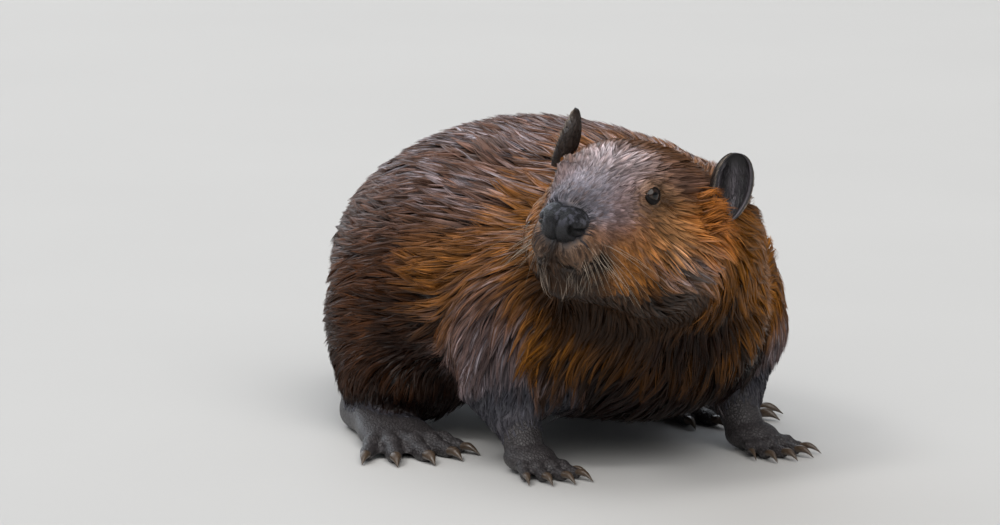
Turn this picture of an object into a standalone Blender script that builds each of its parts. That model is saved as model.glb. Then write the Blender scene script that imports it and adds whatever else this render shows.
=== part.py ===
"""A two-year-old beaver, life size, standing in a low crouch with its head turned to its right.

The animal faces -Y, its left side is +X and the floor is Z = 0, in metres. The solids are the outline of the
coat. The body is one soft form, fused from lofts, and parted by thin cuts into head, neck, trunk, legs and
tail root. Feet, tail paddle, nose pad, ears and eyes are forms of their own, let into the body with a gap.
"""

import math

import bmesh
import bpy
import numpy as np
from mathutils import Matrix, Vector

CM = 0.01

# Driving dimensions, in centimetres.
HEAD_LENGTH = 15.9
HEAD_HALF_WIDTH = 5.75
BACK_HEIGHT = 21.6
BELLY_HEIGHT = 1.9
TRUNK_HALF_WIDTH = 11.7
EYE_RADIUS = 0.62
EYE_SETBACK = 6.0
EYE_SPREAD = 3.2
EYE_HEIGHT = 2.4
EAR_HEIGHT = 4.3
EAR_HALF_WIDTH = 1.5
EAR_DEPTH = 0.95
EAR_WALL = 0.32
TAIL_HALF_WIDTH = 5.4
TAIL_THICKNESS = 1.7
FOREFOOT_LENGTH = 5.6
PALM_LENGTH = 2.4
FORE_CLAW = (0.75, 1.35)
HIND_FOOT_LENGTH = 14.0
HIND_CLAW = (0.7, 1.3)
HEEL_SHARE = 0.66
ANKLE_SHARE = 0.6
TOE_SHARE = 0.36

# The head hangs on the nape: where that is, and how the head is turned, nodded and tilted there.
NAPE = (-2.6, -15.5, 17.4)
HEAD_YAW = -60.2
HEAD_PITCH = 4.9
HEAD_ROLL = 11.9

# How far each ear cup opens outwards, leans back and tilts aside, in degrees.
EAR_TURN = 50
EAR_LEAN = -8
EAR_TILT = 3

# Where the palms and the balls of the hind feet stand, and how far the feet are turned out.
LEFT_PAW = (7.6, -11.4)
RIGHT_PAW = (-9.0, -9.6)
LEFT_FOOT = (11.2, 0.4)
RIGHT_FOOT = (-11.4, 1.4)
LEFT_PAW_TURN = 4
RIGHT_PAW_TURN = -8
LEFT_FOOT_TURN = 14
RIGHT_FOOT_TURN = -16

GAP = 0.03
BODY_VOXEL = 0.45
FOOT_VOXEL = 0.16
BODY_TRIANGLES = 2950
FOOT_TRIANGLES = 380
PADDLE_TRIANGLES = 320
NOSE_TRIANGLES = 180
UP = np.array([0.0, 0.0, 1.0])

# Material name, colour and roughness.
COAT = ("coat", (0.10, 0.055, 0.028), 0.62)
FACE_COAT = ("face_coat", (0.16, 0.10, 0.065), 0.6)
PAW_SKIN = ("paw_skin", (0.045, 0.040, 0.042), 0.55)
TAIL_SKIN = ("tail_skin", (0.040, 0.038, 0.037), 0.6)
NOSE_SKIN = ("nose_skin", (0.028, 0.026, 0.030), 0.35)
EAR_SKIN = ("ear_skin", (0.040, 0.036, 0.037), 0.6)
EYE = ("eye", (0.012, 0.008, 0.006), 0.08)


def start_scene():
    """Empties the scene and makes one collection for the animal and one for cutters."""
    for obj in list(bpy.data.objects):
        bpy.data.objects.remove(obj)
    collections = []
    for name in ("beaver", "cutters"):
        collection = bpy.data.collections.new(name)
        bpy.context.scene.collection.children.link(collection)
        collections.append(collection)
    return collections


BEAVER, CUTTERS = start_scene()


def material(finish):
    name, colour, roughness = finish
    made = bpy.data.materials.get(name) or bpy.data.materials.new(name)
    made.use_nodes = True
    shader = made.node_tree.nodes["Principled BSDF"]
    shader.inputs["Base Color"].default_value = (*colour, 1.0)
    shader.inputs["Roughness"].default_value = roughness
    shader.inputs["Metallic"].default_value = 0.0
    return made


def head_frame():
    """The head's own axes as a matrix in centimetres: X forward along the muzzle, Y left, Z up, nape at zero."""
    facing_front = Matrix.Rotation(math.radians(-90), 4, "Z")
    turned = Matrix.Rotation(math.radians(HEAD_YAW), 4, "Z") @ facing_front
    nod = Matrix.Rotation(math.radians(-HEAD_PITCH), 4, "Y")
    tilt = Matrix.Rotation(math.radians(-HEAD_ROLL), 4, "X")
    return Matrix.Translation(NAPE) @ turned @ nod @ tilt


def through(rows, count):
    """Rows of numbers joined by Catmull-Rom curves and read at count even steps."""
    rows = np.asarray(rows, float)
    held = np.vstack([2 * rows[0] - rows[1], rows, 2 * rows[-1] - rows[-2]])
    at = np.linspace(0, len(rows) - 1, count)
    first = np.minimum(at.astype(int), len(rows) - 2)
    f = (at - first)[:, None]
    a, b, c, d = (held[first + k] for k in range(4))
    return 0.5 * (2 * b + (c - a) * f + (2 * a - 5 * b + 4 * c - d) * f**2 + (3 * b - a - 3 * c + d) * f**3)


def object_from(name, points, faces, frame=None):
    """A mesh object from points in centimetres, which frame may carry somewhere else first."""
    mesh = bpy.data.meshes.new(name)
    mesh.from_pydata((np.asarray(points) * CM).tolist(), [], faces)
    if frame is not None:
        in_metres = frame.copy()
        in_metres.translation = frame.translation * CM
        mesh.transform(in_metres)
    shape = bmesh.new()
    shape.from_mesh(mesh)
    bmesh.ops.recalc_face_normals(shape, faces=shape.faces)
    shape.to_mesh(mesh)
    shape.free()
    obj = bpy.data.objects.new(name, mesh)
    BEAVER.objects.link(obj)
    return obj


def loft(name, stations, rings=24, sides=24, squareness=2.0, pear=0.0, frame=None):
    """A closed form through stations of x, y, z, half width, height above and depth below the path.

    Each ring is a superellipse of that squareness. pear narrows its top and widens its foot by that share."""
    rows = through(stations, rings)
    centres = rows[:, :3]
    half_width, above, below = np.maximum(rows[:, 3:6], 0.02).T
    tangent = np.gradient(centres, axis=0)
    tangent /= np.linalg.norm(tangent, axis=1)[:, None]
    side = np.cross(UP, tangent)
    side /= np.linalg.norm(side, axis=1)[:, None]
    upward = np.cross(tangent, side)
    angle = np.linspace(0, 2 * math.pi, sides, endpoint=False)
    across = np.sign(np.cos(angle)) * np.abs(np.cos(angle)) ** (2 / squareness)
    height = np.sign(np.sin(angle)) * np.abs(np.sin(angle)) ** (2 / squareness)
    across = across * (1 - pear * np.sin(angle))
    tall = np.where(height > 0, above[:, None], below[:, None]) * height
    points = (
        centres[:, None, :]
        + side[:, None, :] * (half_width[:, None] * across)[:, :, None]
        + upward[:, None, :] * tall[:, :, None]
    ).reshape(-1, 3)
    faces = [
        (r * sides + k, r * sides + (k + 1) % sides, (r + 1) * sides + (k + 1) % sides, (r + 1) * sides + k)
        for r in range(rings - 1)
        for k in range(sides)
    ]
    faces.append(tuple(range(sides))[::-1])
    faces.append(tuple((rings - 1) * sides + k for k in range(sides)))
    return object_from(name, points, faces, frame)


def tube(name, points, radii, frame=None, rings=14, sides=12):
    """A loft of round rings through points."""
    stations = [(*p, r, r, r) for p, r in zip(points, radii)]
    return loft(name, stations, rings, sides, frame=frame)


def ellipsoid(name, centre, radii, turn=(0, 0, 0), frame=None, segments=24, rings=12):
    """An ellipsoid, from the sphere primitive, turned by degrees about its own X, Y and Z."""
    mesh = bpy.data.meshes.new(name)
    shape = bmesh.new()
    bmesh.ops.create_uvsphere(shape, u_segments=segments, v_segments=rings, radius=1.0)
    shape.to_mesh(mesh)
    shape.free()
    turned = Matrix.Identity(4)
    for axis, degrees in zip("XYZ", turn):
        turned = Matrix.Rotation(math.radians(degrees), 4, axis) @ turned
    place = Matrix.Translation(centre) @ turned @ Matrix.Diagonal((*radii, 1.0))
    if frame is not None:
        place = frame @ place
    mesh.transform(Matrix.Diagonal((CM, CM, CM, 1.0)) @ place)
    obj = bpy.data.objects.new(name, mesh)
    BEAVER.objects.link(obj)
    return obj


def box(name, centre, size, frame=None):
    """A box from the cube primitive, in centimetres."""
    mesh = bpy.data.meshes.new(name)
    shape = bmesh.new()
    bmesh.ops.create_cube(shape, size=1.0)
    shape.to_mesh(mesh)
    shape.free()
    place = Matrix.Translation(centre) @ Matrix.Diagonal((*size, 1.0))
    if frame is not None:
        place = frame @ place
    mesh.transform(Matrix.Diagonal((CM, CM, CM, 1.0)) @ place)
    obj = bpy.data.objects.new(name, mesh)
    BEAVER.objects.link(obj)
    return obj


def evaluated_mesh(obj):
    graph = bpy.context.evaluated_depsgraph_get()
    graph.update()
    return bpy.data.meshes.new_from_object(obj.evaluated_get(graph))


def as_cutter(obj):
    """Moves an object among the cutters, which no render shows."""
    for collection in list(obj.users_collection):
        collection.objects.unlink(obj)
    CUTTERS.objects.link(obj)
    obj.hide_render = True
    obj.display_type = "WIRE"
    return obj


def grown(obj, amount=GAP):
    """A cutter that is a copy of obj, larger all round by the gap."""
    copy = bpy.data.objects.new(obj.name + "_cut", evaluated_mesh(obj))
    BEAVER.objects.link(copy)
    swell = copy.modifiers.new("Swell", "DISPLACE")
    swell.strength = amount * CM
    swell.mid_level = 0.0
    return as_cutter(copy)


def fuse(name, pieces, voxel, smoothing, triangles, flat_foot=False):
    """One closed form round overlapping pieces, softened, and thinned to about that many triangles.

    With flat_foot it stands on the floor, cut level there."""
    joined = bmesh.new()
    for piece in pieces:
        joined.from_mesh(piece.data)
        bpy.data.objects.remove(piece)
    mesh = bpy.data.meshes.new(name)
    joined.to_mesh(mesh)
    joined.free()
    obj = bpy.data.objects.new(name, mesh)
    BEAVER.objects.link(obj)
    skin = obj.modifiers.new("Skin", "REMESH")
    skin.mode = "VOXEL"
    skin.voxel_size = voxel * CM
    soft = obj.modifiers.new("Soften", "SMOOTH")
    soft.factor = 0.5
    soft.iterations = smoothing
    dense = evaluated_mesh(obj)
    obj.modifiers.clear()
    obj.data = dense
    dense.calc_loop_triangles()
    thin = obj.modifiers.new("Thin", "DECIMATE")
    thin.ratio = min(1.0, triangles / len(dense.loop_triangles))
    thin.use_collapse_triangulate = True
    if flat_foot:
        cut(obj, "DIFFERENCE", FLOOR)
    obj.data = evaluated_mesh(obj)
    obj.modifiers.clear()
    return obj


def cut(obj, operation, cutter):
    modifier = obj.modifiers.new(operation.title(), "BOOLEAN")
    modifier.operation = operation
    modifier.object = cutter
    modifier.solver = "EXACT"
    return modifier


def finished(obj, finish):
    """Gives a node its material and smooth shading."""
    obj.data.materials.clear()
    obj.data.materials.append(material(finish))
    obj.data.shade_smooth()
    return obj


HEAD = head_frame()
FLOOR = as_cutter(box("floor_cut", (0, 0, -5), (120, 120, 10)))


def head_pieces():
    """The head's lofts, in its own axes: muzzle, skull, cheeks, chin, brow and the mounds under the ears."""
    back = HEAD_LENGTH
    skull = loft(
        "skull",
        [
            (back - 0.1, 0, 0, 1.15, 1.2, 2.1),
            (back - 0.7, 0, 0, 1.7, 1.75, 3.0),
            (back - 1.9, 0, 0, 2.1, 2.3, 3.9),
            (back - 3.6, 0, 0, 2.7, 3.05, 4.7),
            (back - 5.5, 0, 0, 3.75, 4.0, 5.5),
            (back - 7.5, 0, 0, 4.65, 4.8, 5.9),
            (back - 9.6, 0, 0, HEAD_HALF_WIDTH - 0.35, 5.15, 6.2),
            (back - 11.6, 0, 0, HEAD_HALF_WIDTH, 5.1, 6.2),
            (back - 13.8, 0, 0, HEAD_HALF_WIDTH - 0.2, 4.9, 5.9),
            (-1.0, 0, 0, HEAD_HALF_WIDTH - 1.2, 4.4, 5.0),
        ],
        rings=34,
        sides=32,
        squareness=2.35,
        pear=0.08,
        frame=HEAD,
    )
    pieces = [skull]
    for side in (1, -1):
        cheek = (back - 10.0, side * 2.8, -2.1)
        pieces.append(ellipsoid("cheek", cheek, (4.8, 3.5, 4.3), frame=HEAD))
        brow = (back - 6.8, side * 2.45, 2.85)
        pieces.append(ellipsoid("brow", brow, (2.3, 1.3, 1.15), frame=HEAD))
        lip = (back - 1.9, side * 0.95, -1.6)
        pieces.append(ellipsoid("lip", lip, (1.75, 1.25, 1.6), frame=HEAD))
        mound = (back - 12.5 - side * 0.4, side * 4.9, 1.5)
        pieces.append(ellipsoid("ear_mound", mound, (2.2, 1.35, 1.9), frame=HEAD))
    pieces.append(ellipsoid("chin", (back - 3.1, 0, -3.9), (1.8, 1.35, 1.3), frame=HEAD))
    return pieces


def trunk_pieces():
    """The trunk, high over the loins and narrower at the shoulders, with its neck, thighs and shoulders."""
    centre = 11.0
    rise = BACK_HEIGHT - centre
    drop = centre - BELLY_HEIGHT
    wide = TRUNK_HALF_WIDTH
    trunk = loft(
        "trunk",
        [
            (0, 21.0, 6.4, 2.0, 2.2, 2.2),
            (0, 19.6, 6.9, 4.6, 4.9, 4.2),
            (0, 16.8, 8.0, 7.2, 6.9, 5.6),
            (0, 12.0, 9.6, wide - 1.4, rise - 1.6, drop - 1.5),
            (0, 5.0, 10.6, wide, rise, drop - 0.3),
            (0, -3.0, centre, wide - 0.3, rise, drop),
            (0, -9.0, 11.2, wide - 1.6, rise - 0.6, drop),
            (0, -13.6, 11.0, wide - 3.8, rise - 1.8, drop - 0.9),
            (0, -16.9, 10.7, 5.4, 6.1, 6.0),
            (0, -18.4, 10.5, 2.4, 3.0, 3.2),
        ],
        rings=40,
        sides=36,
        squareness=2.05,
        pear=0.1,
    )
    neck = loft(
        "neck",
        [
            (0.2, -7.0, 12.6, 7.4, 7.4, 7.4),
            (-0.3, -11.6, 13.8, 7.3, 7.0, 7.4),
            (-1.6, -14.8, 15.2, 6.8, 6.2, 7.0),
            (-3.9, -17.0, 16.4, 6.2, 5.5, 6.4),
            (-7.0, -18.7, 17.0, 5.4, 4.8, 5.6),
        ],
        rings=20,
        sides=28,
    )
    return [trunk, neck]


def leg_pieces():
    """Shoulders, upper arms, forearms, thighs and shanks, down to wrists and ankles."""
    pieces = []
    for side, paw in ((1, LEFT_PAW), (-1, RIGHT_PAW)):
        x, y = paw
        pieces.append(ellipsoid("shoulder", (side * 7.0, -8.8, 9.8), (4.1, 5.1, 6.6), turn=(14, 0, 0)))
        elbow = (side * 9.3, y + 3.8, 6.2)
        wrist = (x, y + 0.9, 2.6)
        pieces.append(tube("arm", [(side * 7.6, -8.0, 11.0), (side * 8.9, y + 3.0, 8.4), elbow], (3.9, 3.7, 3.1)))
        pieces.append(tube("forearm", [elbow, (x * 0.5 + side * 4.5, y + 2.4, 4.5), wrist], (3.1, 2.4, 1.75)))
    for side, (x, y), turn in ((1, LEFT_FOOT, LEFT_FOOT_TURN), (-1, RIGHT_FOOT, RIGHT_FOOT_TURN)):
        behind = HIND_FOOT_LENGTH * ANKLE_SHARE
        ankle = (x - behind * math.sin(math.radians(turn)), y + behind * math.cos(math.radians(turn)), 2.8)
        pieces.append(ellipsoid("thigh", (side * 7.1, 7.0, 7.7), (5.0, 8.0, 7.3), turn=(-14, 0, 0)))
        pieces.append(tube("shank", [(side * 8.6, 3.4, 6.2), (side * 9.1, 6.6, 4.4), ankle], (3.9, 3.3, 2.2)))
    return pieces


def tail_root():
    """The furred root of the tail, from the rump to the paddle."""
    return tube(
        "tail_root_form",
        [(0, 16.0, 7.2), (0.2, 19.6, 5.4), (1.2, 22.6, 3.6), (3.4, 25.4, 2.1)],
        (5.4, 4.2, 3.0, 1.9),
        sides=20,
    )


def forefoot(name, place, turn):
    """A forefoot in its own axes, toes towards -Y: palm, wrist, four long digits and a short inner one, with claws."""
    side = 1 if "left" in name else -1
    frame = Matrix.Translation((*place, 0)) @ Matrix.Rotation(math.radians(turn), 4, "Z")
    pieces = [
        ellipsoid("palm", (0, -0.5, 0.85), (1.75, 2.1, 1.05), frame=frame),
        tube("wrist", [(0, 1.2, 3.6), (0, 0.9, 2.4), (0, 0.2, 1.2)], (1.55, 1.5, 1.35), frame=frame),
    ]
    reach = FOREFOOT_LENGTH - PALM_LENGTH
    digits = (
        (-1.35, 0.52, 26, 0.3),
        (-0.95, 0.93, 15, 0.42),
        (-0.3, 1.0, 4, 0.46),
        (0.4, 0.94, -7, 0.45),
        (1.05, 0.76, -19, 0.4),
    )
    for across, share, splay, radius in digits:
        ahead = -math.cos(math.radians(splay))
        aside = -math.sin(math.radians(splay))
        root = (side * across, -1.3, 0.7)
        length = reach * share
        knuckle = (side * (across + aside * length * 0.45), -1.3 + ahead * length * 0.5, 0.9 * share + 0.15)
        tip = (side * (across + aside * length), -1.3 + ahead * length, 0.33)
        bend, point = length + FORE_CLAW[0], length + FORE_CLAW[1]
        claw_mid = (side * (across + aside * bend), -1.3 + ahead * bend, 0.4)
        claw_tip = (side * (across + aside * point), -1.3 + ahead * point, 0.14)
        pieces.append(tube("digit", [root, knuckle, tip], (radius * 1.15, radius, radius * 0.9), frame))
        pieces.append(tube("claw", [tip, claw_mid, claw_tip], (0.3, 0.22, 0.07), frame, rings=8))
    return fuse(name, pieces, FOOT_VOXEL, 3, FOOT_TRIANGLES, flat_foot=True)


def hind_foot(name, place, turn):
    """A hind foot in its own axes, toes towards -Y from the heel behind: long sole, five toes, claws and webs."""
    side = 1 if "left" in name else -1
    frame = Matrix.Translation((*place, 0)) @ Matrix.Rotation(math.radians(turn), 4, "Z")
    heel = HIND_FOOT_LENGTH * HEEL_SHARE
    sole = loft(
        "sole",
        [
            (0, heel + 0.6, 1.1, 1.0, 0.9, 1.3),
            (0, heel - 0.8, 1.3, 1.7, 1.5, 1.5),
            (0, heel - 4.2, 1.1, 1.9, 1.3, 1.3),
            (0, 1.4, 0.9, 2.6, 0.95, 1.1),
            (0, -0.4, 0.7, 2.7, 0.7, 0.9),
        ],
        rings=16,
        squareness=2.3,
        frame=frame,
    )
    ankle = tube("ankle", [(0, heel - 0.9, 4.4), (0, heel - 1.0, 2.8), (0, heel - 1.2, 1.4)], (1.9, 1.75, 1.6), frame=frame)
    pieces = [sole, ankle]
    toes = (
        (-2.1, 0.66, 30, 0.5),
        (-1.15, 0.86, 15, 0.58),
        (-0.05, 1.0, 2, 0.64),
        (1.1, 0.98, -12, 0.62),
        (2.1, 0.8, -27, 0.55),
    )
    reach = HIND_FOOT_LENGTH * TOE_SHARE
    tips = []
    for across, share, splay, radius in toes:
        ahead = -math.cos(math.radians(splay))
        aside = -math.sin(math.radians(splay))
        length = reach * share
        root = (side * across * 0.85, 0.4, 0.75)
        knuckle = (side * (across + aside * length * 0.5), -0.2 + ahead * length * 0.45, 0.85)
        tip = (side * (across + aside * length), -0.2 + ahead * length, 0.5)
        bend, point = length + HIND_CLAW[0], length + HIND_CLAW[1]
        claw_mid = (side * (across + aside * bend), -0.2 + ahead * bend, 0.45)
        claw_tip = (side * (across + aside * point), -0.2 + ahead * point, 0.16)
        pieces.append(tube("toe", [root, knuckle, tip], (radius * 1.1, radius, radius * 0.85), frame))
        pieces.append(tube("claw", [tip, claw_mid, claw_tip], (0.36, 0.28, 0.1), frame, rings=8))
        tips.append((side * (across + aside * length * 0.8), -0.2 + ahead * length * 0.8))
    outline = [(side * 1.6, 1.8), (side * -1.6, 1.8)] + tips
    low = [(x, y, 0.1) for x, y in outline]
    high = [(x, y, 0.52) for x, y in outline]
    count = len(outline)
    walls = [(k, (k + 1) % count, count + (k + 1) % count, count + k) for k in range(count)]
    pieces.append(object_from("web", low + high, [tuple(range(count)), tuple(range(count, 2 * count)), *walls], frame))
    return fuse(name, pieces, FOOT_VOXEL * 1.2, 3, FOOT_TRIANGLES, flat_foot=True)


def tail_paddle():
    """The scaly paddle, an oval plate that swings to the animal's left along the floor."""
    wide, thick = TAIL_HALF_WIDTH, TAIL_THICKNESS
    stations = (
        (2.4, 24.2, 2.1, 2.5),
        (4.2, 26.0, 2.6, 2.0),
        (6.8, 28.0, 3.7, 1.45),
        (10.3, 30.0, 4.9, 1.1),
        (14.2, 31.8, wide, 0.85),
        (18.1, 33.3, 5.2, 0.75),
        (21.6, 34.5, 4.1, 0.62),
        (24.1, 35.3, 2.6, 0.52),
        (25.3, 35.6, 0.9, 0.4),
    )
    rows = [(x, y, share * thick * 0.32, w, share * thick * 0.5, share * thick * 0.5) for x, y, w, share in stations]
    plate = loft("plate", rows, rings=30, sides=28, squareness=2.0)
    return fuse("tail_paddle", [plate], FOOT_VOXEL * 1.6, 2, PADDLE_TRIANGLES, flat_foot=True)


def ear(name, side):
    """A cupped ear: half an ellipsoid's wall, opened forwards and outwards, in the head's axes."""
    base = (4.1 - side * 0.4, side * 5.95, 1.7)
    lean = Matrix.Rotation(math.radians(-side * EAR_TILT), 4, "X") @ Matrix.Rotation(math.radians(EAR_LEAN), 4, "Y")
    face = Matrix.Rotation(math.radians(side * EAR_TURN), 4, "Z")
    frame = HEAD @ Matrix.Translation(base) @ lean @ face
    tall, wide = EAR_HEIGHT * 0.5, EAR_HALF_WIDTH
    shape = bmesh.new()
    bmesh.ops.create_uvsphere(shape, u_segments=12, v_segments=8, radius=1.0)
    everything = shape.verts[:] + shape.edges[:] + shape.faces[:]
    bmesh.ops.bisect_plane(shape, geom=everything, plane_co=(-0.1, 0, 0), plane_no=(1, 0, 0), clear_outer=True)
    mesh = bpy.data.meshes.new(name)
    shape.to_mesh(mesh)
    shape.free()
    cup = Matrix.Translation((0, 0, tall * 0.82)) @ Matrix.Diagonal((EAR_DEPTH, wide, tall, 1.0))
    mesh.transform(Matrix.Diagonal((CM, CM, CM, 1.0)) @ frame @ cup)
    obj = bpy.data.objects.new(name, mesh)
    BEAVER.objects.link(obj)
    wall = obj.modifiers.new("Wall", "SOLIDIFY")
    wall.thickness = EAR_WALL * CM
    wall.offset = 0.0
    wall.use_even_offset = False
    return obj


def eye(name, side):
    centre = HEAD @ Vector((HEAD_LENGTH - EYE_SETBACK, side * EYE_SPREAD, EYE_HEIGHT))
    return ellipsoid(name, centre, (EYE_RADIUS,) * 3, segments=12, rings=6)


def nose_pad():
    """The broad bare pad, with a dent at each side for the nostril."""
    front = HEAD_LENGTH - 0.9
    pieces = [ellipsoid("pad", (front, 0, 0.05), (1.35, 1.6, 1.4), turn=(0, 6, 0), frame=HEAD)]
    for side in (1, -1):
        pieces.append(ellipsoid("wing", (front - 0.05, side * 1.0, 0.0), (1.1, 0.65, 0.95), frame=HEAD))
    return fuse("nose_pad", pieces, 0.14, 4, NOSE_TRIANGLES)


def part(name, body, own, earlier, pockets=(), finish=COAT):
    """One named part of the body: what lies in its own cutter, less the earlier cutters and the pockets."""
    obj = bpy.data.objects.new(name, body.data.copy())
    BEAVER.objects.link(obj)
    if own is not None:
        cut(obj, "INTERSECT", own)
    for other in (*earlier, *pockets):
        cut(obj, "DIFFERENCE", other)
    return finished(obj, finish)


def build():
    feet = {
        "forefoot_left": forefoot("forefoot_left", LEFT_PAW, LEFT_PAW_TURN),
        "forefoot_right": forefoot("forefoot_right", RIGHT_PAW, RIGHT_PAW_TURN),
        "hindfoot_left": hind_foot("hindfoot_left", LEFT_FOOT, LEFT_FOOT_TURN),
        "hindfoot_right": hind_foot("hindfoot_right", RIGHT_FOOT, RIGHT_FOOT_TURN),
    }
    for foot in feet.values():
        finished(foot, PAW_SKIN)
    paddle = finished(tail_paddle(), TAIL_SKIN)
    nose = finished(nose_pad(), NOSE_SKIN)
    ears = [finished(ear("ear_left", 1), EAR_SKIN), finished(ear("ear_right", -1), EAR_SKIN)]
    eyes = [finished(eye("eye_left", 1), EYE), finished(eye("eye_right", -1), EYE)]

    pieces = head_pieces() + trunk_pieces() + leg_pieces() + [tail_root()]
    body = fuse("body_form", pieces, BODY_VOXEL, 6, BODY_TRIANGLES)

    reach = ((2.3, 6.5), (6.0, 6.7), (11.0, 6.3), (15.0, 5.0), (18.0, 4.0))
    head_stations = [(x, 0, -0.4, r, r + 0.4, r + 1.2) for x, r in reach]
    head_cut = as_cutter(loft("head_region", head_stations, rings=7, sides=16, squareness=2.8, frame=HEAD))
    neck_axis = Vector((-0.3, -0.82, 0.48)).to_track_quat("X", "Z").to_matrix().to_4x4()
    neck_place = Matrix.Translation((-0.5, -11.8, 13.6)) @ neck_axis
    neck_cut = as_cutter(box("neck_region", (10.0, 0, 0), (20.0, 18.0, 22.0), neck_place))
    fore_cuts = [
        as_cutter(ellipsoid(f"arm_region_{word}", (side * 10.2, -8.4, 6.6), (5.6, 6.6, 9.4), segments=14, rings=7))
        for side, word in ((1, "left"), (-1, "right"))
    ]
    hind_cuts = [
        as_cutter(ellipsoid(f"leg_region_{word}", (side * 10.8, 6.8, 5.6), (6.2, 9.4, 8.8), segments=14, rings=7))
        for side, word in ((1, "left"), (-1, "right"))
    ]
    tail_cut = as_cutter(box("tail_region", (1.0, 29.0, 5.0), (16.0, 20.0, 20.0)))

    cuts = [head_cut, neck_cut, *fore_cuts, *hind_cuts, tail_cut]
    larger = {c.name: grown(c) for c in cuts}
    face = [grown(nose), *map(grown, ears), *map(grown, eyes)]
    pockets = {name: grown(foot) for name, foot in feet.items()}
    paddle_pocket = grown(paddle)

    part("head", body, head_cut, (), face, FACE_COAT)
    part("neck", body, neck_cut, [larger["head_region"]], [face[1], face[2]])
    part("foreleg_left", body, fore_cuts[0], [larger["head_region"], larger["neck_region"]], [pockets["forefoot_left"]])
    part("foreleg_right", body, fore_cuts[1], [larger["head_region"], larger["neck_region"]], [pockets["forefoot_right"]])
    part("hindleg_left", body, hind_cuts[0], [larger["arm_region_left"]], [pockets["hindfoot_left"]])
    part("hindleg_right", body, hind_cuts[1], [larger["arm_region_right"]], [pockets["hindfoot_right"]])
    part("tail_root", body, tail_cut, [larger["leg_region_left"], larger["leg_region_right"]], [paddle_pocket])
    part("trunk", body, None, [larger[c.name] for c in cuts], [pockets["hindfoot_left"], pockets["hindfoot_right"]])
    bpy.data.objects.remove(body)
    settle()


def settle():
    """Moves everything so that the animal's box has its middle over the origin and its base on the floor."""
    low, high = np.full(3, np.inf), np.full(3, -np.inf)
    for obj in BEAVER.objects:
        mesh = evaluated_mesh(obj)
        points = np.array([vertex.co for vertex in mesh.vertices])
        low, high = np.minimum(low, points.min(0)), np.maximum(high, points.max(0))
        bpy.data.meshes.remove(mesh)
    middle = (low + high) / 2
    for obj in bpy.data.objects:
        obj.location -= Vector((middle[0], middle[1], low[2]))


build()
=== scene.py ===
"""A life-size beaver fresh from the water, crouched on all fours with its head turned to the right.

One skin covers the flesh, and a coat of solid wet hairs lies over it along the body. The eyes, nose pad,
ears, claws, tail paddle and whiskers are pieces of their own. Lengths are in metres unless a name says
centimetres. Places on the head are given in the head's own axes: forward along the muzzle, the animal's
left, and up, in centimetres from the middle of the back of the skull.
"""

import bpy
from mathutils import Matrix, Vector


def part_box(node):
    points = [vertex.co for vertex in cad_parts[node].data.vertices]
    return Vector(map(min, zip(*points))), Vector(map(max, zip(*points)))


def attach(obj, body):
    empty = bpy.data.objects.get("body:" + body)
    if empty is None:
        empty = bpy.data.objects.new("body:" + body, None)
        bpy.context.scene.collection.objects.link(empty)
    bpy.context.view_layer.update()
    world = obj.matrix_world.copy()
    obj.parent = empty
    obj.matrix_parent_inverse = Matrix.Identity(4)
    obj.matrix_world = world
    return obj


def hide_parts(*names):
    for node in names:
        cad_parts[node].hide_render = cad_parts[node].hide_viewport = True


bl_info = {
    "name": "Beaver model",
    "version": (1, 0, 0),
    "blender": (4, 5, 0),
    "location": "3D View > Sidebar > Beaver",
    "description": "Builds the skin, coat, eyes, nose, ears, claws, tail and whiskers of a life-size beaver",
    "category": "Add Mesh",
}

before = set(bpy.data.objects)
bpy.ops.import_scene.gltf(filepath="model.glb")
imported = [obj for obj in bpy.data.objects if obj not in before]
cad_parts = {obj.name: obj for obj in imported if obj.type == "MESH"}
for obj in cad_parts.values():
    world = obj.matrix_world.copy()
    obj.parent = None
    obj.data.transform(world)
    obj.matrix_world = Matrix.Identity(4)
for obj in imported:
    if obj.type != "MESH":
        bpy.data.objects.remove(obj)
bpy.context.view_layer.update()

import itertools
import math
from typing import NamedTuple

import bmesh
import bpy
import numpy as np
from mathutils import Vector
from mathutils.kdtree import KDTree

CM = 0.01
SEED = 11
SIDES = {1: "left", -1: "right"}  # the animal's own sides, by the sign of the head's sideways axis
FACE_SLOPE = math.radians(24.7)  # from between the eyes to the nose pad, below the head's forward axis
EYES_FORWARD = 9.9  # centimetres from the head's origin to the line between the eyes
EYES_UP = 2.4
LEGS = ("foreleg_left", "foreleg_right", "hindleg_left", "hindleg_right")
FLESH = ("head", "neck", "trunk", "tail_root", *LEGS)
FOOT_TURN = {"forefoot_left": 4, "forefoot_right": -8, "hindfoot_left": 14, "hindfoot_right": -16}  # degrees
FEET = tuple(FOOT_TURN)
TUFT_PATCH = 0.003  # width of one hair's patch on the skin's unwrap


# ---- sizes and colours a user may change


def length(name, description, default):
    return bpy.props.FloatProperty(
        name=name, description=description, default=default, unit="LENGTH", precision=5
    )


def number(name, description, default):
    return bpy.props.FloatProperty(name=name, description=description, default=default)


def colour(name, description, default):
    return bpy.props.FloatVectorProperty(
        name=name, description=description, default=default, size=3, subtype="COLOR", min=0.0, max=1.0
    )


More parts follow.
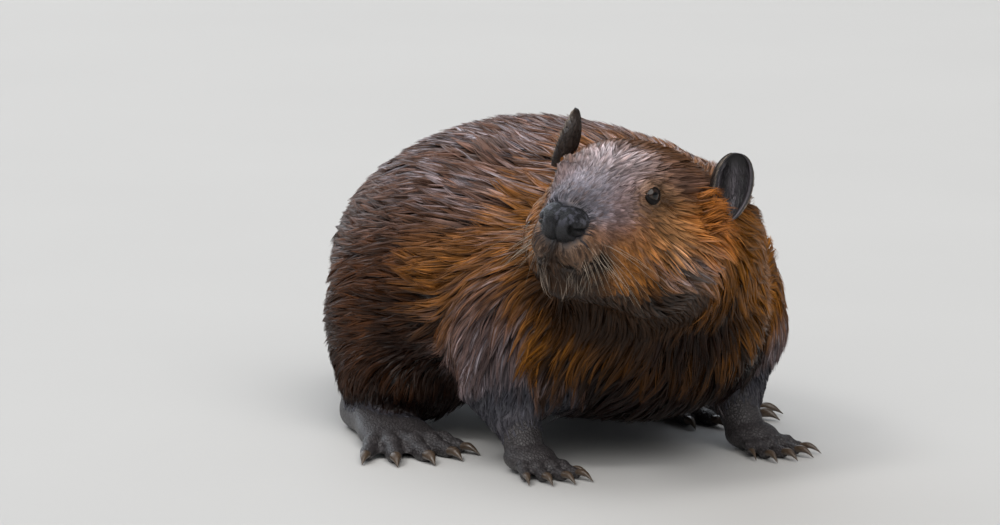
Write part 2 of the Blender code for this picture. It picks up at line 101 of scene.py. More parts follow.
class BeaverSizes(bpy.types.PropertyGroup):
    """Sizes of the skin, coat, eyes, claws, tail scales and whiskers."""

    skin_spacing: length("Skin spacing", "Distance between the skin's points on feet and face", 0.0015)
    coat_depth: length("Coat depth", "Thickness of the coat on the trunk", 0.008)
    hair_length: length("Hair length", "Length of a guard hair on the trunk", 0.038)
    hair_width: length("Hair width", "Width of a guard hair on the trunk", 0.00078)
    face_hair_length: length("Face hair length", "Length of the hair on the muzzle", 0.0062)
    face_hair_width: length("Face hair width", "Width of a hair on the muzzle", 0.00050)
    body_density: number("Body density", "Hairs to the square centimetre on the trunk", 27.5)
    head_density: number("Head density", "Hairs to the square centimetre on the cheeks and crown", 38.0)
    leg_density: number("Leg density", "Hairs to the square centimetre on the lower legs", 25.0)
    clump_spacing: length("Clump spacing", "Distance between the wet locks on the trunk", 0.0060)
    eyeball_radius: length("Eyeball radius", "Radius of each eyeball", 0.0066)
    scale_length: length("Scale length", "Length of one scale on the tail", 0.0062)
    whisker_length: length("Whisker length", "Length of the longest whisker", 0.062)


class BeaverColours(bpy.types.PropertyGroup):
    """Colours of the coat's regions and of the bare parts, with painted sheen and painted shade among them.
    """

    # The back's greyer brown is partly the hair's own colour and partly painted light from the sky above.
    back: colour("Back", "Hair on the back", (0.180, 0.094, 0.066))
    flank: colour("Flank", "Hair on the flanks", (0.080, 0.028, 0.009))
    # Painted shade: stands for the shadow on the underside, the chest and under the neck, not a colour of the
    # hair.
    belly: colour("Belly", "Hair below", (0.010, 0.004, 0.002))
    shoulder: colour("Shoulder", "Orange-brown hair on the neck and shoulders", (0.360, 0.132, 0.010))
    forearm: colour("Forearm", "Hair on the forearms", (0.150, 0.104, 0.102))
    wrist: colour("Wrist", "Short hair on the wrists", (0.052, 0.051, 0.062))
    crown: colour("Crown", "Hair on the crown", (0.155, 0.070, 0.030))
    # Painted sheen: the sky's reflection on the wet hair of the forehead, laid on as pale strokes.
    forehead: colour("Forehead", "Pale combed patch on the forehead", (0.700, 0.600, 0.630))
    # The bridge's grey is partly the short hair's colour and partly painted reflection of the sky on it.
    bridge: colour("Bridge", "Short grey hair on the bridge of the muzzle", (0.200, 0.188, 0.222))
    brow: colour("Brow", "Mauve-brown hair between the eye and the bridge", (0.195, 0.112, 0.096))
    cheek: colour("Cheek", "Orange hair on the cheeks", (0.345, 0.132, 0.026))
    lip: colour("Lip", "Tan hair on the upper lip", (0.235, 0.142, 0.092))
    chin: colour("Chin", "Dark hair under the mouth", (0.017, 0.010, 0.007))
    throat: colour("Throat", "Hair on the throat", (0.034, 0.015, 0.006))
    eye_ring: colour("Eye ring", "Golden hair round the eye", (0.390, 0.220, 0.105))
    ear_base: colour("Ear base", "Bright hair before the ear", (0.560, 0.190, 0.032))
    sheen: colour("Sheen", "Bluish locks that catch the sky", (0.470, 0.435, 0.490))
    # Painted shade between the wet locks and in creases; round the eye and above the nose pad it only darkens
    # the hair.
    gap: colour("Gap", "Dark hair between wet locks", (0.022, 0.012, 0.007))
    fringe: colour("Fringe", "Pale hairs hanging from the lips", (0.420, 0.330, 0.260))
    paw: colour("Paw", "Bare skin of the feet", (0.040, 0.035, 0.036))
    nose: colour("Nose", "Bare nose pad", (0.017, 0.017, 0.022))
    ear: colour("Ear", "Skin of the ears", (0.024, 0.021, 0.024))
    tail: colour("Tail", "Scales of the tail", (0.034, 0.030, 0.030))
    claw: colour("Claw", "Horn of the claws", (0.055, 0.038, 0.026))
    iris: colour("Iris", "Iris of the eye", (0.016, 0.009, 0.006))
    whisker: colour("Whisker", "Whiskers", (0.36, 0.29, 0.22))
    floor: colour("Floor", "Studio floor", (0.54, 0.53, 0.515))


def sizes():
    return bpy.context.scene.beaver_sizes


def shades():
    return bpy.context.scene.beaver_colours


# ---- arithmetic on whole arrays


def unit(vectors):
    """The same directions at length one."""
    return vectors / np.maximum(np.linalg.norm(vectors, axis=-1, keepdims=True), 1e-12)


def along_skin(vectors, normals):
    """The vectors without their part along the normals."""
    return vectors - normals * (vectors * normals).sum(1, keepdims=True)


def no_lower(points, lowest):
    """The points, with any that are below the lowest height raised to it."""
    return np.maximum(points, (-np.inf, -np.inf, lowest))


def turns(count):
    """Angles of count even steps round a full circle."""
    return np.linspace(0, 2 * math.pi, count, endpoint=False)


def ramp(low, high, values):
    """Zero below low, one above high, and an S-shaped rise between them."""
    share = np.clip((values - low) / (high - low), 0.0, 1.0)
    return share * share * (3 - 2 * share)


def blend(first, second, share):
    """The first value, moved a share of the way to the second."""
    return first + (second - first) * share


def middle(node):
    """Middle of a CAD node's box."""
    low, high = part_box(node)
    return (np.array(low) + np.array(high)) / 2


def head_axes():
    """The head's origin, and its forward, left and up directions as rows, from the eyes and the nose pad."""
    left_eye, right_eye = middle("eye_left"), middle("eye_right")
    between = (left_eye + right_eye) / 2
    left = unit(left_eye - right_eye)
    slope = middle("nose_pad") - between
    slope = unit(slope - left * slope.dot(left))
    forward = slope * math.cos(FACE_SLOPE) + np.cross(slope, left) * math.sin(FACE_SLOPE)
    up = np.cross(forward, left)
    origin = between - (forward * EYES_FORWARD + up * EYES_UP) * CM
    return origin, np.stack([forward, left, up])


HEAD_ORIGIN, HEAD_AXES = head_axes()


def on_head(points):
    """Points of the frame in the head's own axes, in centimetres."""
    return (points - HEAD_ORIGIN) @ HEAD_AXES.T / CM


def from_head(points):
    """Points of the head's own axes, in centimetres, in the frame."""
    return np.asarray(points, float) * CM @ HEAD_AXES + HEAD_ORIGIN


def place_of(node):
    """The middle of a CAD node's box in the head's own axes."""
    return on_head(middle(node)[None])[0]


def side_of(places):
    """One for head places on the animal's left, minus one on its right."""
    return np.where(places[:, 1:2] < 0, -1.0, 1.0)


def bell(*parts):
    """One where the parts are nought, falling as e to the power of minus the sum of their squares."""
    return np.exp(-sum(part**2 for part in parts))


def near(places, centre, reach):
    """A soft spot: one at the centre, falling as a bell whose reach may differ along each axis."""
    return np.exp(-(((places - np.array(centre)) / np.array(reach)) ** 2).sum(-1))


def tail_joint():
    """Middle of the box that the tail's furry root and its paddle share, and the paddle's way from it."""
    (low_a, high_a), (low_b, high_b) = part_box("tail_root"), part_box("tail_paddle")
    joint = (np.maximum(low_a, low_b) + np.minimum(high_a, high_b)) / 2
    return joint, unit((middle("tail_paddle") - joint) * (1, 1, 0))


def mirrored(places):
    """Head places with the right side folded on to the left."""
    return places * (1, 0, 1) + np.abs(places) * (0, 1, 0)


def through(rows, count):
    """count rows along the smooth curve that passes through the given rows (Catmull-Rom on every column)."""
    rows = np.asarray(rows, float)
    padded = np.vstack([2 * rows[0] - rows[1], rows, 2 * rows[-1] - rows[-2]])
    place = np.linspace(0, len(rows) - 1, count)
    span = np.minimum(place.astype(int), len(rows) - 2)
    t = (place - span)[:, None]
    a, b, c, d = (padded[span + k] for k in range(4))
    return 0.5 * (2 * b + (c - a) * t + (2 * a - 5 * b + 4 * c - d) * t**2 + (3 * b - a - 3 * c + d) * t**3)


def smoothed(values, edges, rounds, share=0.5):
    """Each value moves a share of the way to the mean of its neighbours along the edges, round by round."""
    count = len(values)
    table = np.array(values, float).reshape(count, -1)
    a, b = edges.T
    friends = np.maximum(np.bincount(edges.ravel(), minlength=count), 1)[:, None]
    for _ in range(rounds):
        sums = [np.bincount(a, v[b], count) + np.bincount(b, v[a], count) for v in table.T]
        table += share * (np.stack(sums, 1) / friends - table)
    return table.reshape(np.shape(values))


NOISE_WAVES = 14
NOISE_HEIGHT = 5.3  # that the sum of so many waves seldom passes


def noise(points, size, seed):
    """Smooth random values from -1 to 1 with lumps of about the given size: a sum of slanted waves."""
    generator = np.random.default_rng(seed)
    total = np.zeros(len(points))
    for _ in range(NOISE_WAVES):
        direction = unit(generator.normal(size=3))
        pace = 2 * math.pi / size * generator.uniform(0.45, 1.1)
        total += np.sin(points @ direction * pace + generator.uniform(0, 2 * math.pi))
    return np.clip(total / NOISE_HEIGHT, -1, 1)


def finder(places):
    """A function that gives, for each of some points, the number of the nearest place."""
    tree = KDTree(len(places))
    for number, place in enumerate(places):
        tree.insert(place, number)
    tree.balance()
    return lambda points: np.fromiter((tree.find(p)[1] for p in points), int, len(points))


def together(shares, names):
    """The shares of several parts of the body, added up at each point."""
    return sum(shares[name] for name in names)


# ---- meshes from arrays


def mesh_from(name, points, *faces):
    """A smooth-shaded mesh from an array of points and arrays of faces, each with one number of corners."""
    mesh = bpy.data.meshes.new(name)
    corners = np.concatenate([np.asarray(f).ravel() for f in faces]).astype(np.int32)
    counts = np.concatenate([np.full(len(f), np.shape(f)[1]) for f in faces])
    starts = np.concatenate([[0], np.cumsum(counts)[:-1]]).astype(np.int32)
    mesh.vertices.add(len(points))
    mesh.vertices.foreach_set("co", np.asarray(points, np.float32).ravel())
    mesh.loops.add(len(corners))
    mesh.loops.foreach_set("vertex_index", corners)
    mesh.polygons.add(len(starts))
    mesh.polygons.foreach_set("loop_start", starts)
    mesh.update(calc_edges=True)
    mesh.shade_smooth()
    return mesh


def move_points(mesh, points):
    mesh.vertices.foreach_set("co", points.astype(np.float32).ravel())
    mesh.update()


def read(mesh, what, name, width, kind=np.float32):
    """One of a mesh's own lists as an array."""
    items = getattr(mesh, what)
    values = np.zeros(len(items) * width, kind)
    items.foreach_get(name, values)
    return values.reshape(-1, width) if width > 1 else values


def points_of(mesh):
    return read(mesh, "vertices", "co", 3).astype(float)


def edges_of(mesh):
    return read(mesh, "edges", "vertices", 2, np.int32)


def normals_of(mesh):
    return read(mesh, "vertex_normals", "vector", 3).astype(float)


def triangles_of(mesh):
    mesh.calc_loop_triangles()
    corners = read(mesh, "loop_triangles", "vertices", 3, np.int32)
    return corners, read(mesh, "loop_triangles", "loops", 3, np.int32)


def store(mesh, name, values):
    """Keeps one value, direction or colour for each point as a named attribute of the mesh."""
    values = np.asarray(values, np.float32)
    if values.ndim == 1:
        mesh.attributes.new(name, "FLOAT", "POINT").data.foreach_set("value", values)
    elif name.endswith("colour"):
        full = np.hstack([values, np.ones((len(values), 1), np.float32)])
        mesh.attributes.new(name, "FLOAT_COLOR", "POINT").data.foreach_set("color", full.ravel())
    else:
        mesh.attributes.new(name, "FLOAT_VECTOR", "POINT").data.foreach_set("vector", values.ravel())


def recall(mesh, name, width=1):
    """The values kept by store."""
    key = {1: "value", 3: "vector", 4: "color"}[width]
    values = np.zeros(len(mesh.vertices) * width, np.float32)
    mesh.attributes[name].data.foreach_get(key, values)
    values = values.astype(float)
    return values.reshape(-1, width) if width > 1 else values


def ring_quads(rows, around, looped=False):
    """Faces between the closed rings of a stack, and from the last ring to the first where it is looped.

    Ring r holds the points from r * around onwards.
    """
    r, k = np.meshgrid(np.arange(rows if looped else rows - 1), np.arange(around), indexing="ij")
    here, there = r * around, (r + 1) % rows * around
    ahead = (k + 1) % around
    return np.stack([here + k, here + ahead, there + ahead, there + k], -1).reshape(-1, 4)


def rings_mesh(name, rings):
    """A closed mesh from an array of rings (rows, around, 3). Its ends close on their rings' middles."""
    rows, around, _ = rings.shape
    points = np.vstack([rings.reshape(-1, 3), rings[0].mean(0), rings[-1].mean(0)])
    k = np.arange(around)
    ahead = (k + 1) % around
    last, foot = (rows - 1) * around, rows * around
    foot_cap = np.stack([ahead, k, np.full(around, foot)], -1)
    top_cap = np.stack([last + k, last + ahead, np.full(around, foot + 1)], -1)
    return facing_out(mesh_from(name, points, ring_quads(rows, around), foot_cap, top_cap))


def store_rings(mesh, name, values, ends=(0, 0)):
    """Keeps the values of a mesh's rings, and of the two points that close its ends."""
    store(mesh, name, np.concatenate([values.ravel(), ends]))


def facing_out(mesh):
    """The closed mesh with its faces turned outwards, told by the sign of the volume inside them."""
    corners, _ = triangles_of(mesh)
    a, b, c = (points_of(mesh)[corners[:, k]] for k in range(3))
    if (a * np.cross(b, c)).sum() < 0:
        mesh.flip_normals()
    return mesh


def pipe(rows, rings=14, around=12, squash=1.0):
    """Rings of a tube whose centre and radius follow the smooth curve through rows of (x, y, z, radius)."""
    line = through(rows, rings)
    heading = unit(np.gradient(line[:, :3], axis=0))
    side = unit(np.cross(heading, (0.13, 0.21, 1.0)))
    over = np.cross(side, heading)
    angle = turns(around)[:, None]
    circle = side[:, None] * np.cos(angle) + over[:, None] * np.sin(angle) * squash
    return line[:, None, :3] + circle * line[:, None, 3:]


def globe(rings, around, margin):
    """Polar angles of rings about the first axis, and the directions of their points.

    A direction is the cosine of its polar angle, and its sine times the turning angle's cosine and sine. The
    end rings stay a margin away from the poles.
    """
    polar = np.linspace(margin, math.pi - margin, rings)[:, None]
    turn = turns(around)[None]
    parts = [np.cos(polar) + 0 * turn, np.sin(polar) * np.cos(turn), np.sin(polar) * np.sin(turn)]
    return polar, np.stack(parts, -1)


def ball(centre, radii):
    """Rings of an ellipsoid about the third axis: a globe's directions times the radii."""
    _, way = globe(16, 24, 0.06)
    return np.array(centre) + way[..., [1, 2, 0]] * np.array(radii)


def joined(name, meshes, merge=0.0):
    """A new mesh made of several, with the points that lie closer than merge made one."""
    whole = bmesh.new()
    for mesh in meshes:
        whole.from_mesh(mesh)
    if merge:
        bmesh.ops.remove_doubles(whole, verts=whole.verts[:], dist=merge)
    made = bpy.data.meshes.new(name)
    whole.to_mesh(made)
    whole.free()
    return made


def copy_of(*nodes):
    """A copy of CAD nodes in one mesh, with the corners of their loose triangles merged."""
    return joined("copy", [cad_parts[node].data for node in nodes], merge=1e-5)


def in_scene(name, data):
    """A new object of the scene."""
    obj = bpy.data.objects.new(name, data)
    bpy.context.scene.collection.objects.link(obj)
    return obj


def with_modifier(mesh, kind, weights=None, **settings):
    """The mesh after one modifier, optionally held to a vertex group of weights."""
    obj = in_scene("work", mesh)
    modifier = obj.modifiers.new("work", kind)
    if weights is not None:
        group = obj.vertex_groups.new(name="share")
        steps = np.round(weights * 10).astype(int)
        for step in range(1, 11):
            group.add(np.flatnonzero(steps == step).tolist(), step / 10, "REPLACE")
        modifier.vertex_group = "share"
    for key, value in settings.items():
        setattr(modifier, key, value)
    evaluated = obj.evaluated_get(bpy.context.evaluated_depsgraph_get())
    made = bpy.data.meshes.new_from_object(evaluated)
    bpy.data.objects.remove(obj)
    bpy.data.meshes.remove(mesh)
    return made


def wrapped(mesh, spacing):
    """One even closed surface round everything in the mesh, with its points about the spacing apart."""
    return with_modifier(mesh, "REMESH", mode="VOXEL", voxel_size=spacing, adaptivity=0.0)


def largest_island(mesh):
    """The mesh without any small pieces shut inside it.

    Each point takes the lowest label among its neighbours until nothing changes, and the points with the
    commonest label are kept.
    """
    edges, count = edges_of(mesh), len(mesh.vertices)
    label = np.arange(count)
    while True:
        lowest = np.minimum(label[edges[:, 0]], label[edges[:, 1]])
        update = label.copy()
        np.minimum.at(update, edges[:, 0], lowest)
        np.minimum.at(update, edges[:, 1], lowest)
        update = update[update]
        if (update == label).all():
            break
        label = update
    kept = label == np.bincount(label, minlength=count).argmax()
    if kept.all():
        return mesh
    place = np.cumsum(kept) - 1
    quads = read(mesh, "loops", "vertex_index", 1, np.int32).reshape(-1, 4)
    quads = place[quads[kept[quads[:, 0]]]]
    made = mesh_from(mesh.name, points_of(mesh)[kept], quads)
    bpy.data.meshes.remove(mesh)
    return made


def piece(name, mesh, finish, slot, *nodes):
    """A finished piece of the root body, standing for the CAD nodes given."""
    obj = in_scene(name, mesh)
    mesh.materials.clear()
    mesh.materials.append(finish)
    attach(obj, "root")
    if nodes:
        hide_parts(*nodes)
    return obj


# ---- material building


def tinted(colour, level=1.0):
    """A colour for a socket, at the given level of brightness."""
    return [min(part * level, 1) for part in colour] + [1]


class Nodes:
    """Adds shader nodes to a material or a node group, and links them by name."""

    def __init__(self, tree):
        self.tree = tree

    def add(self, kind, inputs=None, **settings):
        node = self.tree.nodes.new(kind)
        for key, value in settings.items():
            setattr(node, key, value)
        for key, value in (inputs or {}).items():
            self.join(value, node.inputs[key])
        return node

    def join(self, value, socket):
        """Links an output, or sets a plain value."""
        if isinstance(value, bpy.types.NodeSocket):
            self.tree.links.new(value, socket)
        else:
            socket.default_value = value

    def math(self, operation, first, second=0.0, third=0.0):
        inputs = {0: first, 1: second, 2: third}
        return self.add("ShaderNodeMath", inputs, operation=operation).outputs[0]

    def mix(self, share, first, second, blend_type="MIX"):
        """A colour between two."""
        inputs = {0: share, 6: first, 7: second}
        return self.add("ShaderNodeMix", inputs, data_type="RGBA", blend_type=blend_type).outputs[2]

    def between(self, share, first, second):
        """A plain value between two."""
        inputs = {0: share, 2: first, 3: second}
        return self.add("ShaderNodeMix", inputs, data_type="FLOAT").outputs[0]

    def spread(self, value, low, high, to_low=0.0, to_high=1.0):
        """The value's place between low and high, as an S-shaped rise from to_low to to_high."""
        inputs = {0: value, 1: low, 2: high, 3: to_low, 4: to_high}
        return self.add("ShaderNodeMapRange", inputs, interpolation_type="SMOOTHSTEP").outputs[0]

    def stored(self, name, output="Fac"):
        """What store kept on the mesh under this name."""
        return self.add("ShaderNodeAttribute", attribute_name=name).outputs[output]

    def place(self):
        return self.add("ShaderNodeTexCoord").outputs["Object"]

    def speckle(self, scale, detail=3.0):
        inputs = {"Vector": self.place(), "Scale": scale, "Detail": detail}
        return self.add("ShaderNodeTexNoise", inputs).outputs["Fac"]

    def creases(self, scale):
        """Distance to the borders between scattered cells."""
        inputs = {"Vector": self.place(), "Scale": scale}
        return self.add("ShaderNodeTexVoronoi", inputs, feature="DISTANCE_TO_EDGE").outputs["Distance"]

    def use(self, tree, **inputs):
        """The outputs of a node group whose inputs are given by name, an underscore for a space."""
        node = self.add("ShaderNodeGroup", node_tree=tree)
        for key, value in inputs.items():
            self.join(value, node.inputs[key.replace("_", " ")])
        return node.outputs


class Finish(Nodes):
    """A new material: its Principled shader, and the nodes that feed it."""

    def __init__(self, name):
        self.material = bpy.data.materials.new(name)
        self.material.use_nodes = True
        super().__init__(self.material.node_tree)
        self.shader = self.tree.nodes["Principled BSDF"]

    def surface(self, colour, roughness, relief=None, depth=0.0, specular=0.5):
        """Feeds the shader a colour, a roughness and a relief of the given depth. Returns the material."""
        self.join(colour, self.shader.inputs["Base Color"])
        self.join(roughness, self.shader.inputs["Roughness"])
        self.shader.inputs["Specular IOR Level"].default_value = specular
        if relief is not None:
            bump = self.add("ShaderNodeBump", {"Height": relief, "Distance": depth})
            self.join(bump.outputs[0], self.shader.inputs["Normal"])
        return self.material

    def hair(self, **inputs):
        """Outputs of the hair's group on the colours and the distances from the root that the mesh keeps."""
        marking = self.stored("marking_colour", "Color")
        return self.use(hair_colour_group(), Marking=marking, Along=self.stored("along"), **inputs)

    def leather(self, cell_scale, pore_scale, crease):
        return self.use(leather_group(), Cell_scale=cell_scale, Pore_scale=pore_scale, Crease=crease)


def group(name, inputs, outputs):
    """An empty shader node group with named sockets: its nodes, what it is given and what it puts out."""
    tree = bpy.data.node_groups.new(name, "ShaderNodeTree")
    for label, kind, default in inputs:
        socket = tree.interface.new_socket(name=label, in_out="INPUT", socket_type="NodeSocket" + kind)
        socket.default_value = default
    for label, kind in outputs:
        tree.interface.new_socket(name=label, in_out="OUTPUT", socket_type="NodeSocket" + kind)
    make = Nodes(tree)
    return make, make.add("NodeGroupInput").outputs, make.add("NodeGroupOutput").inputs


def hair_colour_group():
    """Paints shade on a hair towards its root, and varies it along the body in fine streaks and broad
    patches.
    """
    if "Hair colour" in bpy.data.node_groups:
        return bpy.data.node_groups["Hair colour"]
    make, given, out = group(
        "Hair colour",
        (
            ("Marking", "Color", (0.1, 0.06, 0.03, 1)),
            ("Along", "Float", 1.0),
            ("Root shade", "Float", 0.3),
            ("Streak scale", "Float", 260.0),
            ("Streak strength", "Float", 0.35),
            ("Dryness", "Float", 0.36),
        ),
        (("Colour", "Color"), ("Roughness", "Float")),
    )
    streak = make.speckle(given["Streak scale"], 2.0)
    patch = make.speckle(34.0, 2.0)
    rise = make.spread(given["Along"], 0.0, 0.75)
    shade = make.math("SUBTRACT", 1.0, given["Root shade"])
    shade = make.math("MULTIPLY_ADD", rise, shade, given["Root shade"])
    swing = make.math("MULTIPLY", make.math("SUBTRACT", streak, 0.5), given["Streak strength"])
    swing = make.math("MULTIPLY_ADD", swing, 2.0, 1.0)
    swing = make.math("MULTIPLY", swing, make.spread(patch, 0.3, 0.7, 0.82, 1.16))
    level = make.math("MULTIPLY", shade, swing)
    grey = make.add("ShaderNodeCombineColor", {"Red": level, "Green": level, "Blue": level}).outputs[0]
    make.join(make.mix(1.0, given["Marking"], grey, "MULTIPLY"), out["Colour"])
    rough = make.math("ADD", make.spread(streak, 0.3, 0.7, 0.0, 0.14), given["Dryness"])
    make.join(rough, out["Roughness"])
    return make.tree


def leather_group():
    """Heights of bare skin: creased cells broken up by fine pores. The mask is dark in the creases."""
    if "Leather" in bpy.data.node_groups:
        return bpy.data.node_groups["Leather"]
    make, given, out = group(
        "Leather",
        (("Cell scale", "Float", 420.0), ("Pore scale", "Float", 1500.0), ("Crease", "Float", 0.6)),
        (("Height", "Float"), ("Mask", "Float")),
    )
    crease = make.spread(make.creases(given["Cell scale"]), 0.0, 0.22)
    pores = make.math("MULTIPLY", make.speckle(given["Pore scale"], 2.0), 0.35)
    make.join(make.math("MULTIPLY_ADD", crease, given["Crease"], pores), out["Height"])
    make.join(crease, out["Mask"])
    return make.tree


def hair_finish(name, root_shade, streaks=(260.0, 0.3), dryness=0.34, gloss=0.24):
    """Wet hair: the marking at its root, with painted shade inside the coat, and a glossy surface.

    The streaks have a scale and a strength.
    """
    make = Finish(name)
    scale, strength = streaks
    hair = make.hair(Root_shade=root_shade, Streak_scale=scale, Streak_strength=strength, Dryness=dryness)
    return make.surface(hair["Colour"], hair["Roughness"], specular=gloss)


def skin_finish():
    """The skin under the coat carries the coat's markings and painted shade; on the feet it is bare dark
    leather.
    """
    make = Finish("skin")
    bare = make.stored("bare")
    hair = make.hair(Root_shade=0.2, Streak_scale=420.0, Streak_strength=0.5)
    leather = make.leather(430.0, 1500.0, 0.6)
    # Bare paw leather, darker in its creases.
    darker_in_creases = make.mix(leather["Mask"], tinted(shades().paw, 0.55), tinted(shades().paw, 1.25))
    colour = make.mix(bare, hair["Colour"], darker_in_creases)
    rough = make.between(bare, hair["Roughness"], 0.42)
    relief = make.between(bare, make.speckle(900.0, 2.0), leather["Height"])
    return make.surface(colour, rough, relief, 0.0005, specular=0.35)


# ---- the skin


class Digits(NamedTuple):
    """The digits of one kind of left foot, in centimetres, toes towards -Y."""

    rows: tuple  # across, share of the reach, splay in degrees, and radius of each digit
    narrow: float  # share of the distances across that is kept
    start: float  # how far behind the foot's origin the digits start, below zero before it
    reach: float
    knuckle: float  # height of the knuckles
    claw: float  # length of the claws


FORE = Digits(
    rows=(
        (-1.35, 0.52, 26, 0.30),
        (-0.95, 0.93, 15, 0.42),
        (-0.30, 1.00, 4, 0.46),
        (0.40, 0.94, -7, 0.45),
        (1.05, 0.76, -19, 0.40),
    ),
    narrow=1.0,
    start=-1.3,
    reach=3.2,
    knuckle=0.62,
    claw=1.0,
)
HIND = Digits(
    rows=(
        (-2.10, 0.66, 30, 0.50),
        (-1.15, 0.86, 15, 0.58),
        (-0.05, 1.00, 2, 0.64),
        (1.10, 0.98, -12, 0.62),
        (2.10, 0.80, -27, 0.55),
    ),
    narrow=0.85,
    start=0.1,
    reach=5.04,
    knuckle=0.72,
    claw=1.05,
)
HEEL = 9.24  # how far the heel is behind the hind foot's origin


def digit_roots(kind):
    """Each digit's root and heading in the floor's plane, its share of the reach, and its radius."""
    for across, share, splay, radius in kind.rows:
        turn = math.radians(splay)
        ahead = np.array([-math.sin(turn), -math.cos(turn)])
        yield np.array([across * kind.narrow, kind.start]), ahead, share, radius


def rows_along(start, step, stations, radius):
    """Rows of (x, y, z, radius) at stations of (share of the step, height, share of the radius)."""
    return [(*(start + step * part), height, radius * fat) for part, height, fat in stations]


def digit_lines(kind):
    """Rows down each digit: its root, two swollen knuckles, and a blunt tip over its claw."""
    stations = (
        (0.00, 0.72, 1.15),
        (0.26, kind.knuckle + 0.06, 0.93),
        (0.44, kind.knuckle + 0.10, 1.12),
        (0.62, kind.knuckle - 0.10, 0.86),
        (0.78, kind.knuckle - 0.20, 0.98),
        (1.00, 0.42, 0.66),
    )
    lines = []
    for root, ahead, share, radius in digit_roots(kind):
        lines.append(rows_along(root, ahead * kind.reach * share, stations, radius))
    return lines


def claw_lines(kind):
    """Rows down each claw from its digit's tip, arched and drawn out to a point."""
    stations = (
        (-0.3, 0.46, 0.60),
        (0.25, 0.56, 0.62),
        (0.7, 0.46, 0.42),
        (1.0, 0.30, 0.22),
        (1.3, 0.10, 0.05),
    )
    lines = []
    for root, ahead, share, radius in digit_roots(kind):
        tip = root + ahead * kind.reach * share
        lines.append(rows_along(tip, ahead * kind.claw, stations, radius))
    return lines


def forefoot_rings():
    """Palm, wrist and five digits of a left forefoot."""
    palm = [
        ball((0, -0.45, 0.95), (1.7, 2.0, 1.0)),
        ball((-0.2, -1.7, 0.55), (1.35, 0.8, 0.55)),
        pipe([(0, 1.2, 3.8, 1.5), (0, 0.95, 2.6, 1.42), (0, 0.3, 1.4, 1.3)]),
    ]
    return palm + [pipe(line, rings=22, around=16) for line in digit_lines(FORE)]


def web_rings(first, second):
    """A thin web between two digits' lines, from their roots to a scalloped edge short of their tips.

    Each ring runs out along one share of the way from digit to digit on top of the web, and back below it.
    """
    steps = 24
    a, b = through(first, steps)[:, :3], through(second, steps)[:, :3]
    half = np.array([0, 0, 0.11])
    rings = []
    for share in np.linspace(0.04, 0.96, 9):
        dip = math.sin(math.pi * share)
        place = np.linspace(0, 0.98 - 0.30 * dip, 14) * (steps - 1)
        low = np.minimum(place.astype(int), steps - 2)
        part = (place - low)[:, None]
        line = blend(blend(a[low], a[low + 1], part), blend(b[low], b[low + 1], part), share)
        line[:, 2] = line[:, 2] * (1 - 0.3 * dip)
        rings.append(np.vstack([line + half, (line - half)[::-1]]))
    return np.array(rings)


def hind_foot_rings():
    """Sole, ankle, five toes and their webs of a left hind foot."""
    sole = (  # how far back, height of the middle, half width, half height
        (HEEL + 0.6, 1.1, 1.0, 0.9),
        (HEEL - 0.8, 1.3, 1.7, 1.4),
        (HEEL - 4.2, 1.15, 1.85, 1.25),
        (3.2, 1.0, 2.2, 1.05),
        (1.4, 0.85, 2.55, 0.9),
        (-0.4, 0.66, 2.6, 0.66),
    )
    angle = turns(32)
    wide = np.sign(np.cos(angle)) * np.abs(np.cos(angle)) ** 0.85
    high = np.sign(np.sin(angle)) * np.abs(np.sin(angle)) ** 0.85
    rings = []
    for back, up, half_width, half_height in through(sole, 24):
        rings.append(np.stack([wide * half_width, np.full_like(wide, back), up + high * half_height], -1))
    ankle = pipe([(0, HEEL - 0.9, 4.6, 1.85), (0, HEEL - 1.0, 3.0, 1.7), (0, HEEL - 1.2, 1.5, 1.6)])
    lines = digit_lines(HIND)
    toes = [pipe(line, rings=26, around=16) for line in lines]
    webs = [web_rings(first, second) for first, second in zip(lines[:-1], lines[1:])]
    return [np.array(rings), ankle, *toes, *webs]


def placed_foot(foot):
    """A foot's fleshy shapes and its claws as rings, where the CAD foot stands.

    The shapes are mirrored for a right foot and turned. Then the middle of the box of them all goes over the
    middle of the CAD foot's box.
    """
    kind, flesh = (FORE, forefoot_rings()) if foot.startswith("fore") else (HIND, hind_foot_rings())
    shapes = flesh + [pipe(line, squash=0.85) for line in claw_lines(kind)]
    side = 1 if foot.endswith("left") else -1
    turn = math.radians(FOOT_TURN[foot])
    c, s = math.cos(turn), math.sin(turn)
    placed = []
    for rings in shapes:
        x, y, z = rings[..., 0] * side, rings[..., 1], rings[..., 2]
        placed.append(np.stack([c * x - s * y, s * x + c * y, z], -1) * CM)
    every = np.vstack([rings.reshape(-1, 3) for rings in placed])
    shift = middle(foot) - (every.min(0) + every.max(0)) / 2
    shift[2] = 0
    placed = [rings + shift for rings in placed]
    return placed[: len(flesh)], placed[len(flesh) :]


def standing(shapes, lowest):
    """A closed mesh for each shape of rings, pressed flat at the lowest height."""
    return [rings_mesh("shape", no_lower(rings, lowest)) for rings in shapes]


def nearest_nodes(points, names):
    """For each point, which of the named CAD nodes has the closest surface."""
    steps = (0.1, 0.45, 0.8)
    shares = [(a, b, 1 - a - b) for a in steps for b in steps if a + b < 1]
    places, owners = [], []
    for number, name in enumerate(names):
        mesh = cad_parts[name].data
        corners = points_of(mesh)[triangles_of(mesh)[0]]
        places += [np.einsum("k,nkc->nc", share, corners) for share in shares]
        owners += [np.full(len(corners), number)] * len(shares)
    return np.concatenate(owners)[finder(np.vstack(places))(points)]


def part_shares(mesh, points):
    """How much each point belongs to each CAD part, fading over a centimetre at the parts' borders."""
    names = FLESH + FEET
    shares = smoothed(np.eye(len(names))[nearest_nodes(points, names)], edges_of(mesh), 50)
    return dict(zip(names, shares.T))


